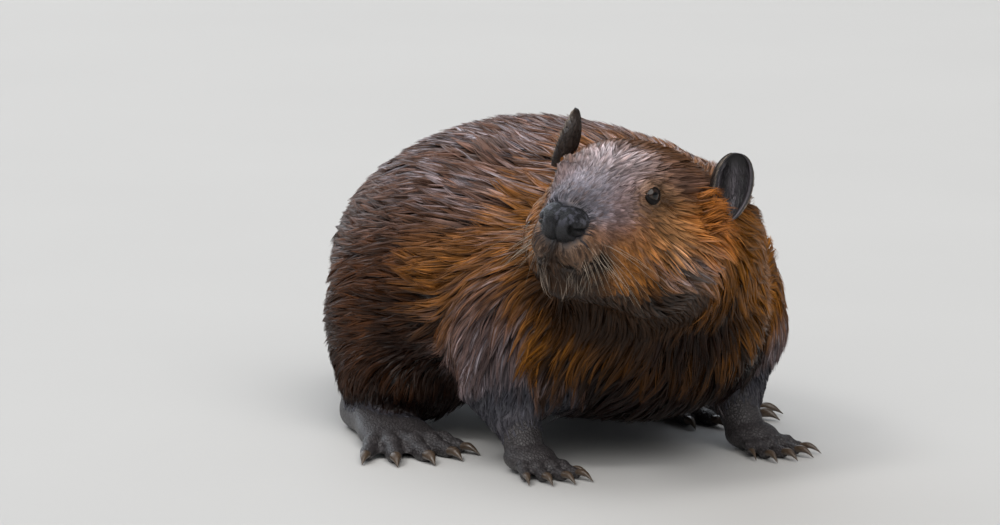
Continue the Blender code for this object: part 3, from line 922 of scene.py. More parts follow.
def depth_of_coat(points, shares):
    """Depth of the coat at each point: deepest on the trunk, thin on the muzzle, none on the feet."""
    full = sizes().coat_depth
    head = mirrored(on_head(points))
    face = blend(full * 0.72, full * 0.17, ramp(6.5, 12.0, head[:, 0]))
    thin_places = (  # share of the full depth, and the middle and reach of the forehead, eyes and ears
        (0.36, (8.5, 0, 4.2), (3.0, 4.0, 2.0)),
        (0.20, (9.9, 3.6, 2.4), (1.5, 1.5, 1.5)),
        (0.30, (3.6, 5.4, 2.6), (1.2, 1.2, 1.4)),
    )
    for share, place, reach in thin_places:
        face = blend(face, full * share, near(head, place, reach))
    high = points[:, 2]
    foreleg = full * blend(0.16, 0.85, ramp(0.035, 0.095, high))
    hindleg = full * blend(0.2, 0.95, ramp(0.02, 0.07, high))
    depth = {"head": face, "neck": full * 1.05, "trunk": full, "tail_root": full * 0.75}
    depth |= {leg: foreleg if leg.startswith("fore") else hindleg for leg in LEGS}
    return sum(shares[name] * value for name, value in depth.items())


MOUTH_LINE = ((15.8, 0.0, -2.3), (15.0, 1.1, -2.5), (14.2, 1.8, -2.2), (13.2, 2.3, -1.6))
FAR_FROM_MOUTH = 9.0  # centimetres, for places where the distance doesn't matter


def from_mouth(folded):
    """Distance in centimetres of head places, folded to the left, from the line of the mouth."""
    mouth = through(MOUTH_LINE, 40)
    distance = np.full(len(folded), FAR_FROM_MOUTH)
    close = np.flatnonzero((folded[:, 0] > 11.5) & (folded[:, 2] < 0.0))
    distance[close] = np.min(np.linalg.norm(folded[close][:, None] - mouth[None], axis=-1), axis=1)
    return distance


FACE_LUMPS = (  # middle, reach, and push forward, outwards and up: brow, lip, hollow cheek and eyelid
    ((10.6, 3.2, 3.7), (1.6, 0.9, 0.7), (0.05, 0.10, 0.12)),
    ((13.9, 1.5, -0.9), (1.3, 1.0, 0.9), (0.10, 0.16, 0.0)),
    ((12.4, 2.9, 0.7), (1.6, 0.8, 0.6), (0.0, -0.14, -0.05)),
    ((11.4, 2.35, 2.5), (0.9, 0.6, 0.7), (0.04, 0.06, 0.26)),
)


def with_lumps(head, on):
    """The head with its brows and lips raised and its mouth line and the groove over it pressed in.

    The right brow is raised more than the left, to show past the bridge.
    Each change moves places along a direction by a bell-shaped amount about a middle or a line.
    """
    folded = mirrored(head)
    side = side_of(head)
    out = np.zeros_like(folded)
    for place, reach, push in FACE_LUMPS:
        out += near(folded, place, reach)[:, None] * push
    out += near(head, (11.2, -2.6, 2.5), (1.3, 0.9, 1.0))[:, None] * (0.10, 0.26, 0.22)
    out -= bell(from_mouth(folded) / 0.26)[:, None] * (0.34, 0.18, 0.0)
    under_nose = bell(folded[:, 1] / 0.16) * near(folded, (15.6, 0, -1.6), (1.2, 1.0, 0.7))
    out -= under_nose[:, None] * (0.22, 0.0, 0.0)
    out *= on[:, None]
    return head + out * np.hstack([np.ones_like(side), side, np.ones_like(side)])


def with_nose_seat(head):
    """The head with its skin sunk inside the nose pad."""
    seat = head - nose_middle()
    size = pad_size(seat)
    sunk = blend(0.55 / np.maximum(size, 0.3), 1.0, ramp(1.00, 1.25, size))
    sunk = np.where(seat[:, 0] > -1.2, np.minimum(sunk, 1.0), 1.0)
    return nose_middle() + seat * sunk[:, None]


def with_socket(head, side):
    """The head with one eye's socket.

    Places keep their direction from the eyeball's middle and take a new distance from it: less than the
    eyeball's radius inside the opening of the lids, and just over it round the opening.
    """
    radius = sizes().eyeball_radius / CM
    centre, gaze = eye_place(side)
    ray = head - centre
    away = np.linalg.norm(ray, axis=1)
    angle = np.degrees(np.arccos(np.clip((ray / away[:, None]) @ gaze, -1, 1)))
    lid = radius * blend(1.05, 1.16, ramp(52, 75, angle))
    target = blend(radius * 0.72, lid, ramp(46, 58, angle))
    wanted = np.where(angle < 50, target, np.maximum(target, np.minimum(away, target * 1.25)))
    held = (1 - ramp(78, 112, angle)) * (away < radius * 2.6)
    return centre + ray / away[:, None] * blend(away, wanted, held)[:, None]


def shape_face(points, shares):
    """Works the brows, lips, mouth line, nose seat and eye sockets into the head's skin."""
    head = with_nose_seat(with_lumps(on_head(points), shares["head"]))
    for side in SIDES:
        head = with_socket(head, side)
    return from_head(head)


NOSE_HALF = np.array([1.30, 1.58, 1.30])  # half the nose pad's depth, width and height, in centimetres
NOSE_POWER = 2.5
EYE_SUNK = {1: 0.14, -1: 0.42}  # how far inwards each eyeball stands from the CAD eye, in centimetres


def nose_middle():
    """Middle of the nose pad in the head's own axes, half way between its sides."""
    return place_of("nose_pad") * (1, 0, 1) - (0.06, 0, 0)


def pad_size(way):
    """The superellipsoid rule: one on the nose pad's surface, less inside, more outside."""
    return (np.abs(way / NOSE_HALF) ** NOSE_POWER).sum(-1) ** (1 / NOSE_POWER)


def eye_place(side):
    """Middle of an eyeball and the way it looks, in the head's own axes."""
    centre = place_of("eye_" + SIDES[side]) - (0.14, side * EYE_SUNK[side], -0.08)
    return centre, unit(np.array([0.46, side * 0.86, 0.22]))


class Paint:
    """The coat's colour at the skin's points, laid on as soft regions one over another."""

    def __init__(self, points, ground_colour):
        colours = shades()
        self.colours = {name: np.array(getattr(colours, name)) for name in BeaverColours.__annotations__}
        self.coat = np.tile(self.colours[ground_colour], (len(points), 1))

    def over(self, name, share):
        self.coat = blend(self.coat, self.colours[name], np.clip(share, 0, 1)[:, None])


def paint_body(paint, points, normals, shares, fleck):
    """Greyed brown and painted sheen above, painted shade nearly black below, orange-brown on the neck and
    shoulders.
    """
    over = paint.over
    height = points[:, 2] + 0.02 * noise(points, 0.09, 3)
    up = normals[:, 2]
    # Greyer brown on the upward faces of the back: partly the hair's colour, partly painted light from above.
    over("back", ramp(0.09, 0.19, height) * ramp(-0.2, 0.8, up))
    over("sheen", ramp(0.10, 0.19, height) * ramp(0.2, 0.9, up) * ramp(0.3, 0.6, fleck) * 0.85)
    # Painted shade on the faces that turn downwards, and low down near the floor.
    over("belly", ramp(0.4, -0.5, up) * 0.9)
    over("belly", ramp(0.10, 0.03, height) * 0.75)
    neck = shares["neck"]
    flesh = neck + shares["trunk"]
    ahead = ramp(-0.05, -0.13, points[:, 1])
    over("shoulder", neck * ramp(-0.7, 0.0, up) * blend(0.95, 0.45, ramp(0.3, 0.9, up)))
    over("shoulder", shares["trunk"] * ahead * ramp(0.08, 0.12, height) * ramp(0.17, 0.13, height) * 0.8)
    # Painted shadow on the chest under the head.
    over("belly", flesh * ahead * ramp(0.115, 0.075, points[:, 2]))
    over("sheen", neck * ramp(0.4, 0.9, up) * ramp(0.2, 0.6, fleck) * 0.5)
    # Painted shade between the wet locks, in flecks.
    over("gap", flesh * ramp(-0.12, -0.5, fleck) * 0.62)
    arms = shares["foreleg_left"] + shares["foreleg_right"]
    patchy = 0.5 + 0.5 * noise(points, 0.03, 5)
    over("shoulder", arms * ramp(0.07, 0.12, height) * (0.30 + 0.35 * patchy))
    over("forearm", arms * ramp(0.135, 0.085, height) * (0.45 + 0.5 * patchy))
    over("sheen", arms * ramp(0.15, 0.10, height) * ramp(0.25, 0.6, fleck) * 0.4)
    over("wrist", arms * ramp(0.075, 0.045, height))
    # Painted shade in the crease between the forelegs and the trunk.
    over("gap", 4 * arms * (1 - arms) * ramp(-0.07, -0.03, points[:, 1]) * 0.6)
    # Painted shade under the neck.
    over("belly", neck * ramp(-0.35, -0.8, up) * 0.55)
    over("wrist", ramp(0.0, 0.5, together(shares, FEET)))


def paint_head(paint, points, on, fleck):
    """Orange cheeks, grey bridge, painted forehead sheen, dark round eyes, mouth and nose, painted shade
    under the nose and among locks.
    """
    head = mirrored(on_head(points))
    x, y, z = head.T
    fine = 0.5 + 0.5 * noise(points, 0.004, 10)

    def over(name, share):
        paint.over(name, on * share)

    def spot(name, centre, reach, share=1.0):
        paint.over(name, on * near(head, centre, reach) * share)

    paint.over("cheek", ramp(0.15, 0.7, on) * ramp(-7.5, -3.0, z))
    over("throat", blend(ramp(-1.7, -3.3, z), ramp(-2.6, -4.6, z), ramp(8.5, 11.0, x)))
    spot("ear_base", (7.4, 5.0, 0.4), (3.6, 1.8, 1.3), 0.45 + 0.5 * fine)
    over("crown", ramp(1.8, 3.4, z) * ramp(12.0, 8.0, x))
    spot("brow", (10.8, 2.2, 2.6), (2.8, 1.9, 2.0))
    spot("brow", (12.6, 2.6, 0.4), (1.9, 1.3, 1.2), 0.9)
    spot("brow", (7.4, 3.9, 3.2), (2.6, 1.4, 0.9), 0.4 + 0.5 * fine)
    ridge = near(head, (8.3, 5.2, -1.2), (2.3, 1.7, 1.0))
    # Painted shade among the standing locks of the cheek ridge, with painted sheen on the locks.
    spot("gap", (8.0, 5.2, -1.5), (2.5, 1.8, 1.2), 0.85)
    over("sheen", ridge * ramp(0.10, 0.45, fleck) * 0.48)
    over("gap", ridge * ramp(0.15, -0.25, fleck))
    bridge = ramp(-0.6, 1.0, z - (15.2 - x) * 0.16) * ramp(9.8, 12.6, x + 0.3 * (2.2 - y))
    mauve = ramp(0.5, 2.4, y) * ramp(14.2, 12.0, x) * ramp(9.6, 10.8, x)
    # Grey of the bridge: partly its hair's colour, partly painted reflection of the sky.
    over("bridge", bridge * (0.72 + 0.5 * fine))
    over("brow", bridge * mauve * 0.7)
    # Painted shade between the short hairs of the bridge, in flecks.
    over("gap", bridge * ramp(0.42, 0.2, fine) * 0.35)
    # Painted sheen of the sky on the wet forehead, in pale strokes.
    spot("forehead", (10.1, 0.2, 4.2), (1.8, 2.1, 1.0), 0.5 + 0.9 * fine)
    spot("forehead", (12.2, 0.3, 3.1), (1.8, 1.2, 0.8), 0.16)
    spot("brow", (13.6, 2.4, -0.7), (1.6, 1.3, 1.0), 0.45)
    spot("cheek", (12.3, 3.0, -1.0), (1.4, 1.2, 0.9), 0.8)
    spot("lip", (14.3, 1.7, -1.5), (1.7, 1.5, 1.2), 1.2)
    spot("lip", (15.4, 0.9, -1.5), (1.0, 1.1, 0.9), 1.2)
    # Painted shade among the hairs of the upper lip, in flecks.
    over("gap", near(head, (14.2, 1.7, -1.5), (2.3, 1.8, 1.3)) * ramp(0.5, 0.25, fine) * 0.9)
    over("chin", ramp(-1.9, -2.9, z) * ramp(10.8, 12.6, x) * 0.92)
    spot("chin", (12.9, 2.4, -1.8), (0.8, 0.8, 0.6))
    over("chin", ramp(0.7, 0.25, from_mouth(head)))
    # Painted shadow under the nose pad, in the chin's dark colour.
    spot("chin", (15.6, 0, -1.7), (0.9, 0.40, 0.9), 0.9)
    spot("chin", (15.4, 0, -1.35), (1.0, 1.5, 0.45), 0.9)
    spot("gap", (14.3, 0.0, 1.5), (0.9, 1.6, 0.5), 0.45)
    spot("eye_ring", (9.7, 3.6, 2.4), (1.7, 1.2, 1.45), 0.75)
    spot("eye_ring", (8.8, 4.6, 0.5), (1.7, 1.2, 1.1), 0.7)
    spot("gap", (9.9, 3.45, 2.45), (0.95, 0.8, 0.95), 0.75)
    spot("ear_base", (4.9, 5.9, 1.9), (1.3, 1.4, 1.6), 0.9)
    spot("ear", (4.0, 6.1, 2.5), (0.8, 0.8, 0.9), 1.3)
    over("nose", ramp(1.02, 0.9, pad_size((on_head(points) - nose_middle()) / 1.05)))


def markings(points, normals, shares):
    """The coat's colour at each point, with painted sheen and shade, and light and dark patches all over."""
    paint = Paint(points, "flank")
    fleck = noise(points, 0.0065, 51)
    paint_body(paint, points, normals, shares, fleck)
    paint_head(paint, points, shares["head"], fleck)
    wobble = 1 + 0.16 * noise(points, 0.02, 21) + 0.10 * noise(points, 0.007, 22)
    return np.clip(paint.coat * wobble[:, None], 0.003, 1)


HEAD_FLOW = (  # place, direction and reach of each stroke of the comb, in the head's axes
    ((15.0, 0.6, 1.6), (-1.0, 0.10, 0.50), 1.6),
    ((12.5, 0.3, 2.8), (-1.0, 0.12, 0.45), 2.0),
    ((12.5, 2.6, 0.6), (-1.0, 0.35, 0.05), 1.5),
    ((9.5, 0.6, 4.3), (-1.0, 0.32, 0.30), 2.0),
    ((10.2, 2.6, 3.6), (-1.0, 0.55, 0.45), 1.1),
    ((11.2, 2.9, 2.3), (-1.0, 0.55, 0.60), 0.8),
    ((9.9, 4.1, 1.3), (-0.85, 0.2, -0.55), 1.1),
    ((8.6, 4.5, 2.4), (-1.0, 0.15, -0.10), 1.2),
    ((5.0, 2.5, 4.8), (-1.0, 0.1, -0.05), 3.0),
    ((6.5, 5.2, 2.0), (-1.0, 0.0, -0.15), 1.6),
    ((4.0, 6.2, 0.0), (-0.9, 0.1, -0.45), 1.6),
    ((9.3, 4.7, -0.6), (-0.72, 0.2, -0.75), 1.5),
    ((7.4, 5.8, -1.4), (-0.80, 0.0, -0.60), 1.7),
    ((7.0, 5.2, -3.6), (-0.95, 0.0, 0.10), 1.4),
    ((3.5, 6.2, -2.5), (-0.95, 0.0, -0.30), 2.2),
    ((11.0, 3.4, -1.4), (-0.75, 0.4, -0.65), 1.2),
    ((13.8, 2.1, -0.8), (-0.50, 0.6, -0.80), 1.2),
    ((15.3, 0.9, -1.6), (0.15, 0.55, -1.0), 1.0),
    ((13.0, 1.4, -3.6), (-0.35, 0.15, -1.0), 1.4),
    ((14.4, 0.3, -3.6), (0.05, 0.1, -1.0), 1.0),
    ((10.0, 2.5, -4.4), (-0.9, 0.15, -0.55), 1.8),
    ((6.0, 1.0, -6.2), (-1.0, 0.0, -0.35), 3.0),
)


def combed(head):
    """The way the hair lies at head places: a mean of the comb's strokes, the nearest counting for most."""
    folded = mirrored(head)
    side = side_of(head)[:, 0]
    total = np.zeros_like(head)
    weight = np.full(len(head), 1e-9)
    for place, direction, reach in HEAD_FLOW:
        pull = np.exp(-((folded - np.array(place)) ** 2).sum(1) / reach**2) + 1e-7
        turned = np.tile(direction, (len(head), 1)).astype(float)
        turned[:, 1] *= side * ramp(0.0, 0.6, folded[:, 1])
        total += pull[:, None] * unit(turned)
        weight += pull
    return unit(total / weight[:, None]) @ HEAD_AXES


def lie_of_coat(points, normals, shares, edges):
    """The way the hair lies on each part, drawn flat on to the skin and smoothed from point to point."""
    high = points[:, 2:3]
    side_on = 1 - np.abs(normals[:, 2:3])
    down = np.array([0.0, 0.0, -1.0])
    back = np.array([0.0, 1.0, 0.0])
    foreleg = blend(back * 0.35 + down, back + down * 0.75, ramp(0.08, 0.15, high))
    hindleg = blend(back * 0.4 + down, back + down * 0.18, ramp(0.035, 0.075, high))
    flow = {
        "neck": np.tile((0.12, 0.85, -0.42), (len(points), 1)),
        "trunk": back + down * 0.16 * side_on + down * 0.7 * ramp(0.06, 0.20, points[:, 1:2]),
        "tail_root": np.tile((0.42, 0.85, -0.35), (len(points), 1)),
    }
    flow |= {leg: foreleg if leg.startswith("fore") else hindleg for leg in LEGS}
    total = sum(shares[name][:, None] * vectors for name, vectors in flow.items())
    toward_toes = np.array([0.0, -1.0, -0.4])
    total = total + together(shares, FEET)[:, None] * toward_toes
    total = total + shares["head"][:, None] * combed(on_head(points))
    for _ in range(3):
        total = unit(smoothed(unit(along_skin(total, normals)), edges, 5))
    return unit(along_skin(total, normals))


def unwrap(mesh):
    """An unwrap of the skin's own shape, in a UV map named OFBake."""
    obj = in_scene("unwrap", mesh)
    bpy.context.view_layer.objects.active = obj
    obj.select_set(True)
    mesh.uv_layers.new(name="OFBake")
    bpy.ops.object.mode_set(mode="EDIT")
    bpy.ops.mesh.select_all(action="SELECT")
    bpy.ops.uv.smart_project(angle_limit=math.radians(66), island_margin=0.002)
    bpy.ops.object.mode_set(mode="OBJECT")
    bpy.data.objects.remove(obj)


def build_skin():
    """One closed skin over all the flesh, sunk below the outline by the coat's depth.

    It is smoothed most on the body, less on the face and least on the feet, and keeps most points there.
    """
    feet_shapes = [mesh for foot in FEET for mesh in standing(placed_foot(foot)[0], 0.0)]
    rough = joined("rough", [copy_of(*FLESH, "eye_left", "eye_right", "nose_pad"), *feet_shapes])
    mesh = largest_island(wrapped(rough, sizes().skin_spacing))
    points, edges = points_of(mesh), edges_of(mesh)
    shares = part_shares(mesh, points)
    feet = together(shares, FEET)
    calm = np.clip(1 - feet * 1.6, 0, 1)[:, None]
    face = (shares["head"] * ramp(8.0, 11.0, on_head(points)[:, 0]))[:, None]
    soft = smoothed(points, edges, 8)
    softer = smoothed(soft, edges, 60)
    fine = smoothed(points, edges, 3)
    points = blend(fine, blend(softer, soft, face), calm)
    move_points(mesh, points)
    depth = smoothed(depth_of_coat(points, shares), edges, 12)
    normals = unit(smoothed(normals_of(mesh), edges, 14))
    points = no_lower(shape_face(points - normals * depth[:, None], shares), 0.0)
    move_points(mesh, points)
    for name, value in shares.items():
        store(mesh, "share_" + name, value)
    store(mesh, "depth", depth)
    head = mirrored(on_head(points))
    round_eyes = near(head, (9.9, 3.5, 2.4), (1.3, 1.0, 1.3)) * 1.5
    front = shares["head"] * np.maximum(ramp(10.5, 12.5, head[:, 0]), round_eyes)
    keep = np.clip(front + feet * 1.3, 0, 1)
    return with_modifier(mesh, "DECIMATE", weights=1 - keep, ratio=0.42, vertex_group_factor=6.0)


def kept_shares(mesh):
    """How much each point of the skin belongs to each CAD part."""
    return {name: recall(mesh, "share_" + name) for name in FLESH + FEET}


class BEAVER_OT_skin(bpy.types.Operator):
    """Wraps one skin round the head, neck, trunk, legs and feet, and works the face into it"""

    bl_idname = "beaver.skin"
    bl_label = "Skin"

    def execute(self, context):
        mesh = build_skin()
        mesh.name = "skin"
        points, normals, edges = points_of(mesh), normals_of(mesh), edges_of(mesh)
        shares = kept_shares(mesh)
        store(mesh, "lie", lie_of_coat(points, normals, shares, edges))
        store(mesh, "marking_colour", markings(points, normals, shares))
        store(mesh, "bare", ramp(0.35, 0.75, together(shares, FEET)))
        depth = recall(mesh, "depth")
        # Painted shade on the skin: darker where the coat over it is deeper.
        store(mesh, "along", blend(0.55, 0.15, ramp(0.0012, 0.004, depth)))
        unwrap(mesh)
        mesh.shade_smooth()
        piece("skin", mesh, skin_finish(), "coat", *FLESH, *FEET)
        return {"FINISHED"}


# ---- the coat


class Ground:
    """The skin as arrays for the coat to grow from: points, normals, lie, depth, marking and unwrap.

    Where the tail's paddle joins on, cling falls to nought and hairs run on past the skin's edge. None grow
    where end is one.
    """

    def __init__(self):
        mesh = bpy.data.objects["skin"].data
        self.points, self.normals = points_of(mesh), normals_of(mesh)
        self.depth = recall(mesh, "depth")
        self.marking = recall(mesh, "marking_colour", 4)[:, :3]
        self.shares = kept_shares(mesh)
        self.head = mirrored(on_head(self.points))
        joint, _ = tail_joint()
        self.cling = 1 - np.clip(1.4 * near(self.points / CM, joint / CM, (2.4, 2.4, 3.5)), 0, 1)
        rooted = unit(joint - middle("tail_root"))
        self.lie = unit(blend(rooted, recall(mesh, "lie", 3), self.cling[:, None]))
        self.end = (1 - self.cling) * ramp(0.05, 0.4, self.normals @ rooted)
        self.corners, loops = triangles_of(mesh)
        uv = np.zeros(len(mesh.loops) * 2, np.float32)
        mesh.uv_layers["OFBake"].data.foreach_get("uv", uv)
        self.uv = uv.reshape(-1, 2)[loops]
        self.nearest = finder(self.points)
        a, b, c = (self.points[self.corners[:, k]] for k in range(3))
        self.areas = np.linalg.norm(np.cross(b - a, c - a), axis=1) / 2

    def scatter(self, density, generator):
        """Triangle numbers and corner shares of roots spread over the skin, density to the square metre.

        Triangles are lined up end to end by the number of roots each should hold, and one root is drawn
        in each whole step of that line.
        """
        wanted = self.areas * density[self.corners].mean(1)
        line = np.cumsum(wanted)
        count = int(line[-1])
        chosen = np.searchsorted(line, np.arange(count) + generator.random(count))
        chosen = np.minimum(chosen, len(line) - 1)
        a, b = generator.random((2, count))
        fold = a + b > 1
        a, b = np.where(fold, 1 - a, a), np.where(fold, 1 - b, b)
        return chosen, np.stack([1 - a - b, a, b], 1)

    def at(self, values, chosen, share):
        """Values of the skin's points at roots inside its triangles."""
        corner_values = values[self.corners[chosen]]
        return np.einsum("nk,nk...->n...", share, corner_values)

    def at_uv(self, chosen, share):
        """Places on the unwrap of roots inside the skin's triangles."""
        return np.einsum("nk,nkc->nc", share, self.uv[chosen])


class Hairs(NamedTuple):
    """Many hairs: paths and the way up along them, both shaped (rows and a tip, count, 3)."""

    path: np.ndarray
    over: np.ndarray
    width: np.ndarray
    marking: np.ndarray
    uv: np.ndarray  # places of their roots on the skin's unwrap


class Locks(NamedTuple):
    """How a coat gathers into wet locks."""

    spacing: float  # from lock to lock
    pull: float  # share of the way that a hair's tip is drawn to its lock
    lift: float  # height of the hairs' tips over the coat's depth
    steps: int  # that each hair takes along the skin
    stray: float = 0.03  # share of the hairs that stand loose
    wave: float = 0.0  # sideways swing over a hair's reach
    swerving: float = 1.0  # how unevenly the locks turn aside
    tone: float = 0.13  # how unevenly the locks are lit
    roundness: float = 0.8  # how far hairs lean away from the middle of their lock


def walk(ground, start, reach, swerve, steps):
    """Points that wander over the skin along its lie, and the skin's normals under them.

    Each step goes on along the lie, turned by the swerve about the normal, and drops back to the skin. Where
    the skin's cling is nought, a hair keeps the way it had and leaves the skin.
    """
    path, over = [], []
    place = start
    under = ground.nearest(place)
    normal, lie = ground.normals[under], ground.lie[under]
    for step in range(steps + 1):
        cling = ground.cling[under][:, None]
        normal = unit(blend(normal, ground.normals[under], cling))
        lie = unit(blend(lie, ground.lie[under], cling))
        path.append(place)
        over.append(normal)
        if step == steps:
            break
        turned = lie * np.cos(swerve)[:, None] + np.cross(normal, lie) * np.sin(swerve)[:, None]
        place = place + turned * (reach / steps)[:, None]
        under = ground.nearest(place)
        lift = ((place - ground.points[under]) * ground.normals[under]).sum(1, keepdims=True)
        place = place - ground.normals[under] * lift * ground.cling[under][:, None]
    return np.array(path), np.array(over)


def strand_faces(rows, count):
    """Faces of many closed three-sided strands: each has rows of three points, then a tip point."""
    last, tip = (rows - 1) * 3, rows * 3
    ends = np.array([(last, last + 1, tip), (last + 1, last + 2, tip), (last + 2, last, tip), (2, 1, 0)])
    first = (np.arange(count) * (tip + 1))[:, None, None]
    return (ring_quads(rows, 3) + first).reshape(-1, 4), (ends + first).reshape(-1, 3)


STRAND_SECTION = ((-1.0, 0.3), (0.0, -0.6), (1.0, 0.3))  # across and above, over half the width
STRAND_TAPERS = {3: (0.80, 1.0, 0.72), 4: (0.75, 1.0, 0.92, 0.66)}  # share of the width at each row
LOWEST_HAIR = 0.0008


def strands(name, hairs):
    """A mesh of hairs as tapering three-sided strands.

    Each ring stands across its path with its flat side uppermost. Every strand carries its marking, its
    distance from root to tip, and a small patch of the skin's unwrap. Only its long edges are sharp.
    """
    path, over, width, marking, root_uv = hairs
    rows, count = len(path) - 1, len(width)
    each = rows * 3 + 1
    heading = unit(np.gradient(path, axis=0))
    across = unit(np.cross(heading, over))
    above = np.cross(across, heading)
    points = np.zeros((count, each, 3))
    uv = np.zeros((count, each, 2))
    along = np.zeros((count, each))
    for row in range(rows):
        half = (width * STRAND_TAPERS[rows][row] / 2)[:, None]
        for corner, (c, s) in enumerate(STRAND_SECTION):
            points[:, row * 3 + corner] = path[row] + (across[row] * c + above[row] * s) * half
            uv[:, row * 3 + corner] = root_uv + TUFT_PATCH * np.array([row / rows - 0.5, corner / 2 - 0.5])
            along[:, row * 3 + corner] = row / rows
    points[:, -1] = path[-1]
    uv[:, -1] = root_uv + TUFT_PATCH * np.array([0.5, 0.0])
    along[:, -1] = 1.0
    mesh = mesh_from(name, no_lower(points.reshape(-1, 3), LOWEST_HAIR), *strand_faces(rows, count))
    corners = read(mesh, "loops", "vertex_index", 1, np.int32)
    layer = mesh.uv_layers.new(name="OFBake")
    layer.data.foreach_set("uv", uv.reshape(-1, 2)[corners].astype(np.float32).ravel())
    store(mesh, "along", along.ravel())
    store(mesh, "marking_colour", np.repeat(marking, each, axis=0))
    row_of = np.minimum(edges_of(mesh) % each, rows * 3) // 3
    sharp = mesh.attributes.new("sharp_edge", "BOOLEAN", "EDGE")
    sharp.data.foreach_set("value", row_of[:, 0] != row_of[:, 1])
    return mesh


def grow(ground, generator, density, reach, width, locks):
    """A coat's hairs in wet locks.

    Roots and locks are scattered over the skin. Each hair walks along the lie for its reach, rises towards
    its share of the coat's depth in nearly a straight line, and is drawn towards its lock's own path more
    and more from root to tip. Its flat side leans away from the lock's path, so that a lock looks round.
    """
    reach, width = (np.broadcast_to(values, len(density)) for values in (reach, width))
    chosen, share = ground.scatter(density, generator)
    root = ground.at(ground.points, chosen, share)
    count = len(root)
    crowd, crowd_share = ground.scatter(np.where(density > 0, 1 / locks.spacing**2, 0), generator)
    heart = ground.at(ground.points, crowd, crowd_share)
    hearts = len(heart)
    lock_reach = ground.at(reach, crowd, crowd_share) * generator.normal(1.0, 0.16, hearts).clip(0.6, 1.4)
    lock_swerve = generator.normal(0, 0.13, hearts) + 0.22 * noise(heart, 0.045, SEED + 1)
    lock_swerve = locks.swerving * lock_swerve
    lock_path, _ = walk(ground, heart, lock_reach, lock_swerve, locks.steps)
    lock_rise = 0.90 + 0.07 * generator.normal(size=hearts) + 0.08 * noise(heart, 0.018, SEED + 2)
    lock_pull = generator.normal(locks.pull, 0.08, hearts).clip(0.1, 0.95)
    mine = finder(heart)(root)

    own_reach = lock_reach[mine] * generator.normal(0.96, 0.08, count).clip(0.6, 1.2)
    swerve = lock_swerve[mine] + locks.swerving * generator.normal(0, 0.05, count)
    path, over = walk(ground, root, own_reach, swerve, locks.steps)
    loose = generator.random(count) < locks.stray
    held = np.where(loose, 0.2, lock_pull[mine])
    rise = lock_rise.clip(0.6, 1.1)[mine] * generator.uniform(0.84, 1.0, count) * np.where(loose, 1.08, 1.0)
    depth = ground.at(ground.depth, chosen, share) * locks.lift
    phase = generator.random(count)
    lie = ground.at(ground.lie, chosen, share)
    for step in range(locks.steps + 1):
        part = step / locks.steps
        gap = along_skin(path[step] - lock_path[step][mine], over[step])
        path[step] -= (held * part**1.3)[:, None] * gap
        path[step] += over[step] * (depth * rise * part**0.8 - 0.0004)[:, None]
        if locks.wave:
            across = unit(np.cross(over[step], lie))
            swing = np.sin(part * 5.0 + phase * 1.5 + lock_swerve[mine] * 9) * part * locks.wave
            path[step] += across * (swing * own_reach)[:, None]
        over[step] = unit(over[step] + gap / locks.spacing * 2 * locks.roundness)
    width = ground.at(width, chosen, share) * generator.normal(1.0, 0.15, count).clip(0.6, 1.5)
    width = width * np.where(loose, 0.6, 1.0)
    light = generator.normal(1.0, locks.tone, hearts)[mine] * generator.normal(1.0, locks.tone * 0.8, count)
    marking = ground.at(ground.marking, chosen, share) * light.clip(0.55, 1.6)[:, None]
    return Hairs(path, over, width, marking, ground.at_uv(chosen, share))


MOST_TRIANGLES = 196000  # in one piece of the coat


def plant(name, finish, slot, hairs):
    """Splits hairs by place into pieces under the limit of triangles, and makes each piece."""
    rows = len(hairs.path) - 1
    triangles = len(hairs.width) * ((rows - 1) * 6 + 4)
    pieces = math.ceil(triangles / MOST_TRIANGLES)
    root = hairs.path[0]
    order = np.argsort(root[:, 1] + 0.35 * root[:, 0], kind="stable")
    for number, members in enumerate(np.array_split(order, pieces), 1):
        label = name if pieces == 1 else f"{name}_{number}"
        some = Hairs(hairs.path[:, members], hairs.over[:, members], *(part[members] for part in hairs[2:]))
        piece(label, strands(label, some), finish, slot)


class BEAVER_OT_body_coat(bpy.types.Operator):
    """Grows the long wet coat of the neck, trunk, thighs and upper arms"""

    bl_idname = "beaver.body_coat"
    bl_label = "Body coat"

    def execute(self, context):
        s = sizes()
        ground = Ground()
        legs, feet = together(ground.shares, LEGS), together(ground.shares, FEET)
        upper = legs * ramp(0.05, 0.09, ground.points[:, 2])
        share = together(ground.shares, ("neck", "trunk", "tail_root")) + upper
        share = share * (1 - ramp(0.1, 0.5, feet))
        hidden = ramp(-0.55, -0.9, ground.normals[:, 2]) * ramp(0.08, 0.04, ground.points[:, 2])
        density = s.body_density * 1e4 * ramp(0.25, 0.6, share) * (1 - 0.6 * hidden) * (1 - ground.end)
        reach = s.hair_length * np.clip(ground.depth / s.coat_depth, 0.35, 1.0)
        width = s.hair_width * (1 + 0.35 * hidden)
        locks = Locks(spacing=s.clump_spacing, pull=0.88, lift=1.0, steps=3, tone=0.24)
        hairs = grow(ground, np.random.default_rng(SEED), density, reach, width, locks)
        plant("coat_body", hair_finish("body hair", 0.24, dryness=0.28, gloss=0.16), "coat", hairs)
        return {"FINISHED"}


def haired(ground):
    """One on the head's skin, and nought where its eyes, nose pad, ears and mouth keep it bare."""
    head, own = ground.head, on_head(ground.points)
    eyes = ramp(0.74, 0.58, np.linalg.norm(head - (9.97, 3.5, 2.58), axis=1))
    nose = ramp(1.5, 1.2, np.linalg.norm((head - (15.3, 0, 0.05)) / (1.0, 1.15, 1.0), axis=1))
    ears = np.clip(sum(near(own, EAR_SEAT[side], (0.8, 0.6, 0.9)) for side in SIDES), 0, 1)
    return (1 - eyes) * (1 - nose) * (1 - ears) * ramp(0.10, 0.32, from_mouth(head))


def toned(name, generator, low, high, hairs):
    """One of the coat's colours at a level of its own for each hair."""
    return np.array(getattr(shades(), name)) * generator.uniform(low, high, (len(hairs.width), 1))


